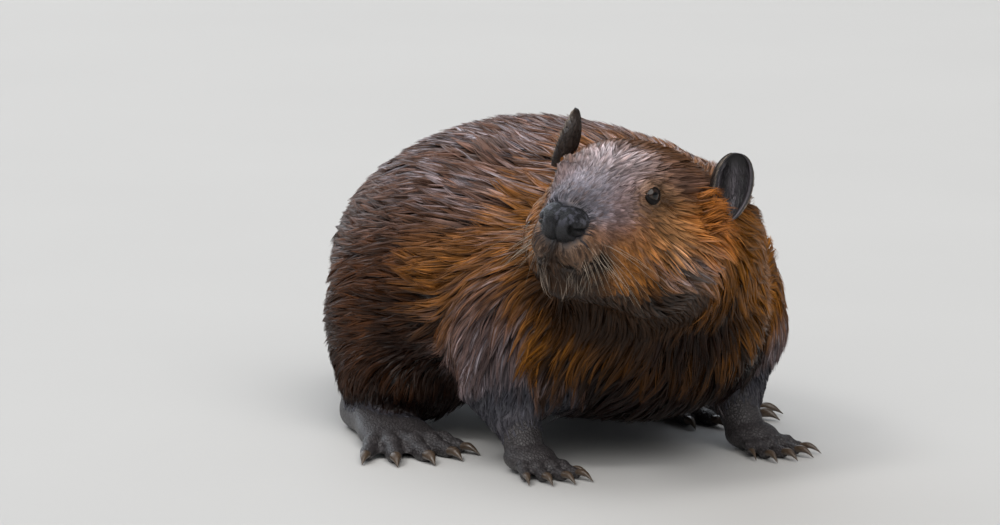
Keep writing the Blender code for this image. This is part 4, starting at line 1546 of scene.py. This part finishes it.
def cheek_and_crown_hairs(ground, generator, share):
    """Hair of the cheeks and crown: longer than the muzzle's, fine and dense round the eyes."""
    round_eye = near(ground.head, (9.9, 3.5, 2.5), (1.7, 1.5, 1.5))
    density = sizes().head_density * 1e4 * share * (1 + 1.2 * round_eye)
    reach = np.clip(ground.depth * 5.0, 0.008, 0.030)
    reach = blend(reach, 0.006, near(ground.head, (9.7, 3.5, 2.5), (1.1, 1.1, 1.1)))
    width = 0.00074 * (1 - 0.42 * round_eye)
    locks = Locks(spacing=0.0042, pull=0.86, lift=0.9, steps=4, wave=0.015, swerving=0.5, tone=0.2)
    return grow(ground, generator, density, reach, width, locks)


def muzzle_hairs(ground, generator, share):
    """Short hair of the muzzle, longer on the lips and under the chin."""
    lips = near(ground.head, (14.2, 1.4, -1.9), (2.2, 1.8, 1.6))
    chin = ramp(-2.6, -3.4, ground.head[:, 2])
    reach = sizes().face_hair_length * (1 + 1.5 * lips + 1.3 * chin)
    width = sizes().face_hair_width * (1 + 0.2 * lips)
    locks = Locks(
        spacing=0.0032, pull=0.55, lift=0.9, steps=3, stray=0.04, swerving=0.5, tone=0.18, roundness=0.5
    )
    return grow(ground, generator, 95e4 * share, reach, width, locks)


def cheek_lock_hairs(ground, generator, on):
    """Broad locks that stand out along the ridge of each cheek, with painted light on them."""
    ridge = near(ground.head, (7.6, 5.4, -1.3), (3.0, 1.9, 1.5))
    locks = Locks(spacing=0.0078, pull=0.93, lift=1.7, steps=4, swerving=0.7, tone=0.32)
    hairs = grow(ground, generator, 30e4 * on * ramp(0.25, 0.65, ridge), 0.034, 0.034 * 0.028, locks)
    # Painted light: the locks' colour is raised 1.35 times over the painted shade of the ridge beneath.
    return hairs._replace(marking=np.clip(hairs.marking * 1.35, 0, 1))


def ear_tuft_hairs(ground, generator, on):
    """An orange tuft before the left ear, swept back over its foot across the lie of the coat."""
    own = on_head(ground.points)
    tuft = near(own, (5.1, 5.5, 2.2), (1.0, 1.3, 2.0)) * ramp(3.9, 4.4, own[:, 0])
    swept = unit(np.array([-1.0, 0.55, 0.25])) @ HEAD_AXES
    lie, ground.lie = ground.lie, unit(along_skin(swept, ground.normals))
    locks = Locks(spacing=0.0036, pull=0.7, lift=2.4, steps=3, tone=0.25)
    hairs = grow(ground, generator, 130e4 * on * ramp(0.2, 0.6, tuft), 0.0125, 0.0005, locks)
    ground.lie = lie
    return hairs._replace(marking=toned("ear_base", generator, 0.2, 0.9, hairs))


def fringe_hairs(ground, generator, share):
    """Thin pale hairs that hang loose from the lips and the chin."""
    head = ground.head
    hanging = near(head, (14.0, 1.3, -2.9), (1.6, 1.5, 1.0))
    hanging = hanging + 0.5 * near(head, (15.0, 0.5, -1.9), (0.8, 0.9, 0.5))
    locks = Locks(spacing=0.004, pull=0.35, lift=3.0, steps=3, stray=0.3, swerving=1.8, tone=0.3)
    hairs = grow(ground, generator, 13e4 * share * ramp(0.25, 0.7, hanging), 0.017, 0.00027, locks)
    return hairs._replace(marking=toned("fringe", generator, 0.08, 0.8, hairs))


class BEAVER_OT_head_coat(bpy.types.Operator):
    """Grows the hair of the head: short on the muzzle, longer and wavy on the cheeks"""

    bl_idname = "beaver.head_coat"
    bl_label = "Head coat"

    def execute(self, context):
        ground = Ground()
        generator = np.random.default_rng(SEED + 3)
        x, _, z = ground.head.T
        on = ramp(0.3, 0.6, ground.shares["head"])
        furred = on * haired(ground)
        muzzle = ramp(10.6, 12.8, x - 0.25 * ramp(2.5, 4.0, z))
        plain = hair_finish("head hair", 0.38, dryness=0.32, gloss=0.18)
        short = hair_finish("muzzle hair", 0.55, (500.0, 0.3), dryness=0.42, gloss=0.18)
        glossy = hair_finish("cheek locks", 0.12, dryness=0.24, gloss=0.4)
        pale = hair_finish("fringe hair", 0.15, dryness=0.3)
        hairs = cheek_and_crown_hairs(ground, generator, furred * (1 - ramp(0.35, 0.7, muzzle)))
        plant("coat_head", plain, "face_coat", hairs)
        hairs = muzzle_hairs(ground, generator, furred * ramp(0.3, 0.7, muzzle))
        plant("coat_muzzle", short, "face_coat", hairs)
        hairs = cheek_lock_hairs(ground, generator, on)
        plant("coat_cheek_locks", glossy, "face_coat", hairs)
        hairs = ear_tuft_hairs(ground, generator, on)
        plant("coat_ear_tufts", plain, "face_coat", hairs)
        hairs = fringe_hairs(ground, generator, on * ramp(0.10, 0.32, from_mouth(ground.head)))
        plant("coat_fringe", pale, "face_coat", hairs)
        return {"FINISHED"}


class BEAVER_OT_leg_coat(bpy.types.Operator):
    """Grows the short hair of the lower legs, down over the wrists and ankles"""

    bl_idname = "beaver.leg_coat"
    bl_label = "Leg coat"

    def execute(self, context):
        ground = Ground()
        legs, feet = together(ground.shares, LEGS), together(ground.shares, FEET)
        low = legs * ramp(0.10, 0.06, ground.points[:, 2])
        spill = ramp(0.0, 0.3, feet) * ramp(0.75, 0.35, feet)
        density = sizes().leg_density * 1e4 * np.clip(ramp(0.2, 0.5, low) + spill, 0, 1)
        reach = np.clip(ground.depth * 4.0, 0.007, 0.022)
        locks = Locks(spacing=0.0048, pull=0.6, lift=1.1, steps=3)
        hairs = grow(ground, np.random.default_rng(SEED + 5), density, reach, 0.0009, locks)
        plant("coat_legs", hair_finish("leg hair", 0.35, dryness=0.32, gloss=0.18), "coat", hairs)
        return {"FINISHED"}


# ---- eyes


def eye_axes(side):
    """Middle of an eyeball and its axes in the frame: outwards along the gaze, towards the ear, and up."""
    centre, gaze = eye_place(side)
    back = np.array([-1.0, 0.0, -0.28])
    back = unit(back - gaze * back.dot(gaze))
    up = np.cross(gaze, back) * -side
    return from_head(centre[None])[0], np.stack([gaze, back, up]) @ HEAD_AXES


def eyeball_finish():
    """Dark brown iris round a black pupil under a wet clear surface."""
    make, iris = Finish("eyeball"), shades().iris
    angle = make.stored("from_pupil")
    fleck = make.spread(make.speckle(2500.0), 0.35, 0.65)
    fleck = make.mix(fleck, tinted(iris, 0.5), tinted(iris, 1.9))
    inner = make.mix(make.spread(angle, 15.0, 20.0), (0.001, 0.001, 0.001, 1), fleck)
    whole = make.mix(make.spread(angle, 34.0, 44.0), inner, (0.008, 0.005, 0.004, 1))
    return make.surface(whole, 0.04, specular=0.42)


def lid_finish():
    """Black creased skin with a dull gloss."""
    make = Finish("eyelid")
    leather = make.leather(2600.0, 5000.0, 0.4)
    tone = make.mix(leather["Mask"], (0.003, 0.002, 0.002, 1), (0.010, 0.008, 0.007, 1))
    return make.surface(tone, 0.45, leather["Height"], 0.00008, specular=0.12)


def eyeball(side):
    """A sphere with a slightly fuller cornea: radius times one and a small bell round the gaze."""
    centre, axes = eye_axes(side)
    polar, way = globe(48, 64, 0.02)
    out = sizes().eyeball_radius * (1 + 0.045 * bell(polar / 0.55))
    mesh = rings_mesh("eyeball", way * out[..., None] @ axes + centre)
    store_rings(mesh, "from_pupil", np.degrees(np.broadcast_to(polar, way.shape[:2])), ends=(0.0, 180.0))
    return mesh


LID_ROWS = 96  # round the eye
LID_AROUND = 16


def lids(side):
    """The dark rims of both lids: a thick closed cord along an almond on the eyeball.

    The almond's angle from the gaze is wider towards the corners than above and below, and drawn to a point
    at the inner corner. The upper rim is thicker than the lower.
    """
    centre, axes = eye_axes(side)
    radius = sizes().eyeball_radius
    toward_ear, upward = np.cos(turns(LID_ROWS)), np.sin(turns(LID_ROWS))
    opening = 44 + 11 * np.abs(toward_ear) ** 3 + 2 * np.clip(-toward_ear, 0, 1) ** 4 - 3 * upward
    opening = np.radians(opening)
    out = np.stack([np.cos(opening), np.sin(opening) * toward_ear, np.sin(opening) * upward], -1)
    away = np.cross(out, unit(np.gradient(out, axis=0)))
    thick = radius * (0.085 + 0.12 * np.clip(upward, 0, 1))[:, None, None]
    wide = radius * (0.10 + 0.20 * np.clip(upward, 0, 1))[:, None, None]
    angle = turns(LID_AROUND)[:, None]
    out, away = out[:, None], away[:, None]
    rings = out * (radius + thick * 0.25) + out * np.sin(angle) * thick + away * np.cos(angle) * wide
    points = (rings @ axes + centre).reshape(-1, 3)
    return facing_out(mesh_from("lids", points, ring_quads(LID_ROWS, LID_AROUND, looped=True)))


class BEAVER_OT_eyes(bpy.types.Operator):
    """Sets the eyeballs in their sockets, with a dark rim of lids round each"""

    bl_idname = "beaver.eyes"
    bl_label = "Eyes"

    def execute(self, context):
        ball_finish, rim_finish = eyeball_finish(), lid_finish()
        for side, word in SIDES.items():
            piece(f"eyeball_{word}", eyeball(side), ball_finish, "eye", f"eye_{word}")
            piece(f"eyelids_{word}", lids(side), rim_finish, "nose_skin")
        return {"FINISHED"}


# ---- nose pad


def nose_finish():
    """Black pebbled skin, matt, with a painted bluish highlight on top and painted shade in the nostrils,
    groove and underside.
    """
    make, nose = Finish("nose leather"), shades().nose
    leather = make.leather(1100.0, 3200.0, 0.8)
    tone = make.mix(leather["Mask"], tinted(nose, 0.10), tinted(nose, 0.9))
    # Painted bluish highlight in blotches on the top of the pad.
    blotch = make.spread(make.speckle(260.0, 4.0), 0.47, 0.60)
    tone = make.mix(make.math("MULTIPLY", blotch, make.stored("top")), tone, tinted(nose, 6.5))
    # Painted shade, near black, in the nostrils, the groove and underneath.
    tone = make.mix(make.stored("pit"), tone, (0.002, 0.002, 0.002, 1))
    return make.surface(tone, 0.3, leather["Height"], 0.0012)


def nose_pad():
    """The pad as a rounded box about its middle, worked into two lobes with a nostril at each side.

    The radius along each direction comes from the superellipsoid rule: the sum of the direction's parts over
    their half sizes, each to a power, to the power of minus one over it. The top slopes back, the foot is
    narrower than the top, bells raise the two lobes and the nostrils' rims, and others sink the groove
    between the lobes, the notch below it and the curled nostrils.
    """
    _, way = globe(120, 190, 0.03)
    x, y, z = np.moveaxis(way / pad_size(way)[..., None], -1, 0)
    front = ramp(-0.3, 0.5, x)
    y = y * (1 - 0.26 * ramp(0.1, -1.2, z))
    x = x - 0.42 * ramp(0.0, 1.2, z) - 0.14 * ramp(-0.3, -1.2, z)
    across = np.abs(y)
    lobe = bell((across - 0.62) / 0.50, (z - 0.15) / 0.70) * front
    groove = bell(y / 0.12) * front
    notch = bell(y / 0.30) * ramp(-0.45, -1.1, z) * front
    x = x + 0.15 * lobe - 0.20 * groove * ramp(1.0, -0.1, z) - 0.20 * notch
    z = z - 0.10 * bell(y / 0.40) * ramp(0.5, 1.2, z)
    curl = across - 1.10 - 0.30 * (z + 0.1) * (z + 0.1) + 0.16 * z
    hole = bell(curl / 0.19, (z + 0.16) / 0.42) * ramp(-0.8, 0.0, x)
    slot = bell((z + 0.02) / 0.10) * ramp(1.1, 1.3, across) * ramp(-0.9, -0.2, x)
    hole = np.maximum(hole, slot * 0.75)
    rim = bell(curl / 0.42, (z + 0.16) / 0.70) * ramp(-0.6, 0.2, x)
    inward = unit(np.stack([x * 0.5 + 0.4, y * 0.9, z * 0.1], -1))
    local = np.stack([x, y, z], -1) - inward * (0.44 * hole - 0.09 * np.clip(rim - hole, 0, 1))[..., None]
    lump = noise(local.reshape(-1, 3), 0.42, 31) + 0.6 * noise(local.reshape(-1, 3), 0.17, 32)
    local = local * (1 + lump.reshape(x.shape) * 0.013)[..., None]
    mesh = rings_mesh("nose_pad_skin", from_head(local + nose_middle()))
    # Painted shade: dark in the nostrils, at the foot of the groove and on the underside.
    dark = np.maximum(ramp(0.22, 0.6, hole), 0.75 * ramp(-0.55, -1.05, z))
    dark = np.maximum(dark, 0.6 * groove * ramp(0.6, -0.3, z))
    store_rings(mesh, "pit", dark)
    # Painted highlight: how much of the bluish highlight each point takes, most on top.
    store_rings(mesh, "top", 0.15 + 0.75 * ramp(-0.3, 0.9, z))
    return mesh


class BEAVER_OT_nose(bpy.types.Operator):
    """Models the broad two-lobed nose pad with its nostrils"""

    bl_idname = "beaver.nose"
    bl_label = "Nose pad"

    def execute(self, context):
        piece("nose_leather", nose_pad(), nose_finish(), "nose_skin", "nose_pad")
        return {"FINISHED"}


# ---- ears


def ear_finish():
    """Dark bare-looking skin, darker in the hollow of the cup, with a painted blue-grey highlight along its
    folds and rim.
    """
    make, tint = Finish("ear skin"), shades().ear
    leather = make.leather(800.0, 2600.0, 0.3)
    outer = make.mix(leather["Mask"], tinted(tint, 0.6), tinted(tint, 1.2))
    grain = make.speckle(420.0)
    deep = make.mix(grain, tinted(tint, 0.1), tinted(tint, 0.45))
    # Painted blue-grey highlight along the folds and the rim of the hollow.
    sheen = make.mix(grain, tinted(tint, 2.0), tinted(tint, 9.5))
    inner = make.mix(make.stored("fold"), deep, sheen)
    tone = make.mix(make.stored("inner"), outer, inner)
    return make.surface(tone, make.spread(grain, 0.3, 0.7, 0.34, 0.52), leather["Height"], 0.0003)


EAR_TALL = {1: 2.20, -1: 2.00}  # half of each ear's height, in centimetres
EAR_WIDE = 1.34  # half the ear's width
EAR_DEEP = 0.88  # depth of the cup
EAR_SEAT = {1: (3.7, 6.0, 2.4), -1: (4.5, -6.0, 2.4)}  # where each ear leaves the head, in its axes
EAR_TURN = {1: 50, -1: 71}  # degrees that each cup opens outwards from forwards
EAR_TILT = math.radians(-8)  # how far the ears lean, forwards below zero
EAR_SPLAY = {1: 0.06, -1: 0.2}  # how far each tip leans outwards, in centimetres
EAR_POINT = {1: 0.5, -1: 0.68}  # how sharply each ear narrows to its tip
EAR_ROWS, EAR_AROUND = 72, 128


def ear_surface(side, rise, sweep, back):
    """Places on an ear in the head's own axes, and how much painted highlight each takes on the folds and rim
    of the hollow.

    rise runs from -1 at the foot to 1 at the top, and sweep round the cup in degrees. back is 1 on the outer
    surface and -1 in the hollow. The cup's half width and depth follow the height as a rounded arch does,
    narrow at the foot. In the hollow, a rolled rim, two upright folds and a deep foot are added as bells.
    """
    arch = np.clip(1 - np.abs(rise) ** 2.3, 0, 1) ** blend(0.38, EAR_POINT[side], ramp(-0.3, 0.3, rise))
    full = arch * (1 - 0.16 * ramp(-0.1, -1.0, rise))
    wall = 0.10 * (0.6 + 0.4 * arch) * (1 - 0.25 * rise)
    angle = np.radians(sweep)
    edge = ramp(70, 96, np.abs(sweep))
    hollow = np.clip(-back, 0, 1)
    lean = sweep + 22 * rise
    folds = bell((lean + 34) / 13) + 0.8 * bell((lean - 24) / 15)
    folds = folds * ramp(0.86, 0.30, rise) * ramp(-0.95, -0.4, rise)
    foot = bell(sweep / 40, (rise + 0.45) / 0.35)
    relief = hollow * (0.17 * folds * arch - 0.26 * foot)
    wide = EAR_WIDE * full + back * wall
    deep = EAR_DEEP * full * (1 - 0.30 * ramp(-0.2, 1.0, rise)) + back * wall
    inward = hollow * edge * 0.10
    x = -(deep - relief) * np.cos(angle) + 0.10 * edge
    y = (wide - inward * 1.4) * np.sin(angle) * (1 + 0.04 * rise)
    z = EAR_TALL[side] * rise
    y = side * (y + EAR_SPLAY[side] * rise)
    c, s = math.cos(EAR_TILT), math.sin(EAR_TILT)
    x, z = x * c + z * s, z * c - x * s
    turn = math.radians(side * EAR_TURN[side])
    c, s = math.cos(turn), math.sin(turn)
    local = np.stack([c * x - s * y, s * x + c * y, z], -1)
    return local, hollow * np.clip(folds + 0.9 * edge, 0, 1)


def ear_rings(side):
    """The ear as closed rings: out along the back of the cup, round the rim, and home along the hollow."""
    rise = np.linspace(-0.99, 0.99, EAR_ROWS)[:, None]
    loop = turns(EAR_AROUND)[None]
    back = np.sign(np.sin(loop)) * np.abs(np.sin(loop)) ** 0.35
    return ear_surface(side, rise, 100 * np.cos(loop) + 0 * rise, back + 0 * rise)


def ear_shift(side, local):
    """Moves ear places so that their box's middle is the CAD ear's."""
    points = ear_rings(side)[0].reshape(-1, 3)
    shift = place_of("ear_" + SIDES[side]) - (points.max(0) + points.min(0)) / 2
    return from_head(local + shift)


def ear(side):
    """One closed shell of the ear."""
    rings, fold = ear_rings(side)
    mesh = rings_mesh("ear", ear_shift(side, rings))
    hollow = np.clip(-np.sin(turns(EAR_AROUND)) * 4, 0, 1)
    store_rings(mesh, "inner", np.broadcast_to(hollow, fold.shape))
    # The fold attribute is the share of painted highlight, on the folds and the rim of the hollow.
    store_rings(mesh, "fold", fold)
    return mesh


def ear_hair(side):
    """Short hairs on an ear: a pale fringe round the rim and wet streaks in the hollow, both partly painted
    highlight, and a dark nap behind.
    """
    generator = np.random.default_rng(SEED + 20 + side)
    # The pale rim and the bluish-grey streaks in the hollow are partly the hair's colour, partly painted
    # highlight.
    rim = (-0.85, 0.90), 0.13, 0.09, 0.030, (0.200, 0.165, 0.135)
    kinds = (  # how many, side of the wall, sweep range, rise range, reach, stand, width, colour
        (420, -1.0, (-92, 92), (-0.90, 0.45), 0.34, 0.07, 0.038, (0.080, 0.074, 0.082)),
        (600, 0.0, (-98, -86), *rim),
        (600, 0.0, (86, 98), *rim),
        (1300, 1.0, (-92, 92), (-0.95, 0.88), 0.20, 0.045, 0.042, (0.042, 0.030, 0.025)),
    )
    grown = []
    for many, back, sweeps, rises, reach, stand, width, tone in kinds:
        sweep = generator.uniform(*sweeps, many)
        rise = generator.uniform(*rises, many)
        drift = generator.normal(0, 9, many) - 10 * (back < 0)
        line = []
        for part in np.linspace(0, 1, 4):
            here = np.clip(rise + reach * part, -0.97, 0.97)
            spot, _ = ear_surface(side, here, sweep + drift * part, np.full(many, back))
            centre, _ = ear_surface(side, here, np.zeros(many), np.full(many, -6.0))
            out = unit(spot - centre) * (1.0 if back >= 0 else -1.0)
            line.append(spot + out * stand * part)
        over = np.repeat(out[None], 4, axis=0) @ HEAD_AXES
        widths = width * CM * generator.uniform(0.7, 1.3, many)
        marking = np.array(tone) * generator.uniform(0.5, 1.4, (many, 1))
        uv = np.stack([0.5 + sweep / 250, 0.5 + rise * 0.4], -1)
        grown.append((ear_shift(side, np.array(line)), over, widths, marking, uv))
    path, over, *rest = zip(*grown)
    return Hairs(np.concatenate(path, 1), np.concatenate(over, 1), *(np.concatenate(part) for part in rest))


class BEAVER_OT_ears(bpy.types.Operator):
    """Models the two small cupped ears"""

    bl_idname = "beaver.ears"
    bl_label = "Ears"

    def execute(self, context):
        skin = ear_finish()
        nap = hair_finish("ear hair", 0.6, (600.0, 0.3), dryness=0.38)
        for side, word in SIDES.items():
            piece(f"ear_cup_{word}", ear(side), skin, "ear_skin", f"ear_{word}")
            plant(f"ear_hair_{word}", nap, "ear_skin", ear_hair(side))
        return {"FINISHED"}


# ---- claws


def claw_finish():
    """Brown horn with a fine grain."""
    make, tint = Finish("claw horn"), shades().claw
    grain = make.speckle(700.0)
    tone = make.mix(grain, tinted(tint, 0.5), tinted(tint, 2.0))
    return make.surface(tone, 0.32, grain, 0.0002)


class BEAVER_OT_claws(bpy.types.Operator):
    """Models the arched claws of all four feet"""

    bl_idname = "beaver.claws"
    bl_label = "Claws"

    def execute(self, context):
        horn = claw_finish()
        for foot in FEET:
            _, claws = placed_foot(foot)
            mesh = joined(f"claws_{foot}", standing(claws, 0.0002))
            mesh.shade_smooth()
            piece(f"claws_{foot}", mesh, horn, "paw_skin")
        return {"FINISHED"}


# ---- tail


def tail_finish():
    """Dark scales, paler on their crowns, darker in the grooves."""
    make, tint = Finish("tail scales"), shades().tail
    crown = make.stored("crown")
    tone = make.mix(make.spread(crown, 0.05, 0.7), tinted(tint, 0.2), tinted(tint, 1.5))
    blotch = make.spread(make.speckle(45.0, 4.0), 0.35, 0.7)
    tone = make.mix(make.math("MULTIPLY", blotch, 0.45), tone, tinted(tint, 1.9))
    relief = make.leather(1200.0, 3600.0, 0.25)["Height"]
    return make.surface(tone, make.spread(crown, 0.0, 0.8, 0.62, 0.3), relief, 0.0003)


TAIL_SPACING = 0.00105
HONEYCOMB = 1.732  # a hexagon's width over its side: the square root of three


def tail_mesh():
    """The paddle wrapped afresh over its CAD form, with rows of six-sided scales pressed into it.

    In the paddle's plane, along and across its own length, each point takes its distance to the two nearest
    centres of a honeycomb. The difference of the distances is nought on a groove and largest on a scale.
    """
    mesh = wrapped(copy_of("tail_paddle"), TAIL_SPACING)
    points = no_lower(smoothed(points_of(mesh), edges_of(mesh), 40), 0.0003)
    move_points(mesh, points)
    normals = normals_of(mesh)
    flat = points[:, :2] - points[:, :2].mean(0)
    axes = np.linalg.svd(flat[::50], full_matrices=False)[2]
    along, across = (flat @ axes.T).T
    long = sizes().scale_length
    wide = long * 0.62
    across = across + 0.0006 * noise(points, 0.03, 41)
    along = along + 0.0008 * noise(points, 0.035, 42)
    best = np.full((2, len(points)), 9.0)
    for shift in (0.0, 0.5):
        row = np.round(along / long - shift) + shift
        for step in (-1, 0, 1):
            column = np.round(across / wide / HONEYCOMB - shift) + shift + step
            gap = np.hypot(along / long - row, across / wide / HONEYCOMB - column)
            best = np.sort(np.vstack([best, gap]), axis=0)[:2]
    groove = np.clip((best[1] - best[0]) / 0.42, 0, 1)
    crown = blend(0.6, groove, ramp(0.35, 0.75, np.abs(normals[:, 2])))
    height = 0.0009 * (1 - (1 - crown) ** 3)
    joint, onward = tail_joint()
    away = (points - joint) @ onward
    rooted = ramp(0.035, 0.005, away)
    points = points + normals * (height * (1 - rooted) - 0.0006 - 0.002 * rooted)[:, None]
    spine = joint + away[:, None] * onward
    points = blend(points, spine + (points - spine) * 0.5, (ramp(0.05, -0.005, away) ** 1.2)[:, None])
    move_points(mesh, no_lower(points, 0.0))
    mesh.shade_smooth()
    store(mesh, "crown", crown)
    return mesh


class BEAVER_OT_tail(bpy.types.Operator):
    """Models the scaly tail paddle"""

    bl_idname = "beaver.tail"
    bl_label = "Tail"

    def execute(self, context):
        piece("tail_scales", tail_mesh(), tail_finish(), "tail_skin", "tail_paddle")
        return {"FINISHED"}


# ---- whiskers


def whisker_finish():
    """Horn-pale bristle, darker at the root."""
    make, tint = Finish("whisker"), shades().whisker
    rise = make.spread(make.stored("along"), 0.0, 0.3)
    return make.surface(make.mix(rise, tinted(tint, 0.25), tinted(tint)), 0.35)


WHISKER_ROWS, WHISKER_AROUND = 12, 6


def whiskers():
    """Thin tapering bristles in rows on each lip, sweeping out, back and down under their own weight."""
    generator = np.random.default_rng(SEED + 8)
    most = sizes().whisker_length / CM
    part = np.linspace(0, 1, 9)[:, None]
    meshes = []
    for side, row, place in itertools.product(SIDES, range(4), range(6)):
        back = place / 5
        root = np.array([14.6 - 2.1 * back, side * (1.35 + 1.05 * back), -0.75 - 0.42 * row])
        out = unit(np.array([0.35 - 0.95 * back, side * (0.85 + 0.15 * row), -0.35 - 0.32 * row]))
        out = unit(out + generator.normal(0, 0.16, 3))
        reach = most * (0.45 + 0.55 * back) * (1 - 0.12 * row) * generator.uniform(0.75, 1.0)
        sag = np.array([-0.25, 0, -0.75]) * reach * 0.28
        line = root - out * 0.25 + out * reach * part + sag * part**2
        rings = pipe(np.hstack([line, 0.013 * (1 - 0.8 * part)]), WHISKER_ROWS, WHISKER_AROUND)
        meshes.append(rings_mesh("whisker", from_head(rings)))
    mesh = joined("whiskers", meshes)
    along = np.append(np.repeat(np.linspace(0, 1, WHISKER_ROWS), WHISKER_AROUND), (0, 1))
    store(mesh, "along", np.tile(along, len(meshes)))
    mesh.shade_smooth()
    return mesh


class BEAVER_OT_whiskers(bpy.types.Operator):
    """Sets the pale whiskers in the upper lips"""

    bl_idname = "beaver.whiskers"
    bl_label = "Whiskers"

    def execute(self, context):
        piece("whiskers", whiskers(), whisker_finish(), "face_coat")
        return {"FINISHED"}


# ---- the stage


FLOOR_HALF = 30.0
CAMERA_TURN = math.radians(-35.0)
CAMERA_RISE = math.radians(9.5)
CAMERA_DISTANCE = 4.64
CAMERA_LENS = 250.0
CAMERA_CENTRE = (-0.0415, -0.065, 0.11)  # what the camera's turn and rise are about
CAMERA_AIM = (-0.0705, -0.0447, 0.1159)


def floor_finish():
    """Matt paper, very slightly uneven."""
    make, tint = Finish("studio floor"), shades().floor
    tone = make.mix(make.speckle(3.0, 2.0), tinted(tint, 0.97), tinted(tint, 1.03))
    return make.surface(tone, 0.7)


def broad_light(name, source, spread, strength, tint):
    """Even light from a wide patch of sky in the direction of source, spread degrees across."""
    data = bpy.data.lights.new(name, "SUN")
    data.angle = math.radians(spread)
    data.energy = strength
    data.color = tint
    in_scene(name, data).rotation_euler = (-Vector(source)).to_track_quat("-Z", "Y").to_euler()


class BEAVER_OT_stage(bpy.types.Operator):
    """Lays the pale floor and sets the soft lights and the camera"""

    bl_idname = "beaver.stage"
    bl_label = "Stage"

    def execute(self, context):
        scene = context.scene
        points = np.array([(-1, -1, 0), (1, -1, 0), (1, 1, 0), (-1, 1, 0)]) * FLOOR_HALF
        floor = in_scene("floor", mesh_from("floor", points, [(0, 1, 2, 3)]))
        floor.data.materials.append(floor_finish())

        world = bpy.data.worlds.new("studio")
        world.use_nodes = True
        sky = world.node_tree.nodes["Background"]
        sky.inputs["Color"].default_value = (0.88, 0.92, 1.0, 1)
        sky.inputs["Strength"].default_value = 0.19
        scene.world = world
        broad_light("sky above", (-0.45, -0.65, 1.0), 75.0, 3.1, (1.0, 0.99, 0.97))
        broad_light("clearing", (-0.62, -0.12, 0.75), 13.0, 0.6, (1.0, 1.0, 1.0))
        broad_light("sky behind", (0.1, 0.9, 0.55), 60.0, 1.2, (0.86, 0.93, 1.0))
        scene.view_settings.view_transform = "Standard"

        lens = bpy.data.cameras.new("camera")
        lens.lens = CAMERA_LENS
        lens.sensor_width = 36.0
        lens.clip_end = 100.0
        camera = in_scene("camera", lens)
        level = math.cos(CAMERA_RISE)
        back = (math.sin(CAMERA_TURN) * level, -math.cos(CAMERA_TURN) * level, math.sin(CAMERA_RISE))
        camera.location = Vector(CAMERA_CENTRE) + Vector(back) * CAMERA_DISTANCE
        camera.rotation_euler = (Vector(CAMERA_AIM) - camera.location).to_track_quat("-Z", "Y").to_euler()
        scene.camera = camera
        return {"FINISHED"}


# ---- the add-on


STEPS = (
    BEAVER_OT_skin,
    BEAVER_OT_body_coat,
    BEAVER_OT_head_coat,
    BEAVER_OT_leg_coat,
    BEAVER_OT_eyes,
    BEAVER_OT_nose,
    BEAVER_OT_ears,
    BEAVER_OT_claws,
    BEAVER_OT_tail,
    BEAVER_OT_whiskers,
    BEAVER_OT_stage,
)


class BEAVER_PT_panel(bpy.types.Panel):
    """Lists the beaver's sizes, colours and steps"""

    bl_idname = "BEAVER_PT_panel"
    bl_label = "Beaver"
    bl_space_type = "VIEW_3D"
    bl_region_type = "UI"
    bl_category = "Beaver"

    def draw(self, context):
        column = self.layout.column(align=True)
        for settings in (context.scene.beaver_sizes, context.scene.beaver_colours):
            for name in settings.__annotations__:
                column.prop(settings, name)
        for step in STEPS:
            column.operator(step.bl_idname)


CLASSES = (BeaverSizes, BeaverColours, *STEPS, BEAVER_PT_panel)


def register():
    for item in CLASSES:
        bpy.utils.register_class(item)
    bpy.types.Scene.beaver_sizes = bpy.props.PointerProperty(type=BeaverSizes)
    bpy.types.Scene.beaver_colours = bpy.props.PointerProperty(type=BeaverColours)


def unregister():
    del bpy.types.Scene.beaver_colours
    del bpy.types.Scene.beaver_sizes
    for item in reversed(CLASSES):
        bpy.utils.unregister_class(item)


def main():
    register()
    for step in STEPS:
        getattr(bpy.ops.beaver, step.bl_idname.split(".")[1])()


if __name__ == "__main__":
    main()
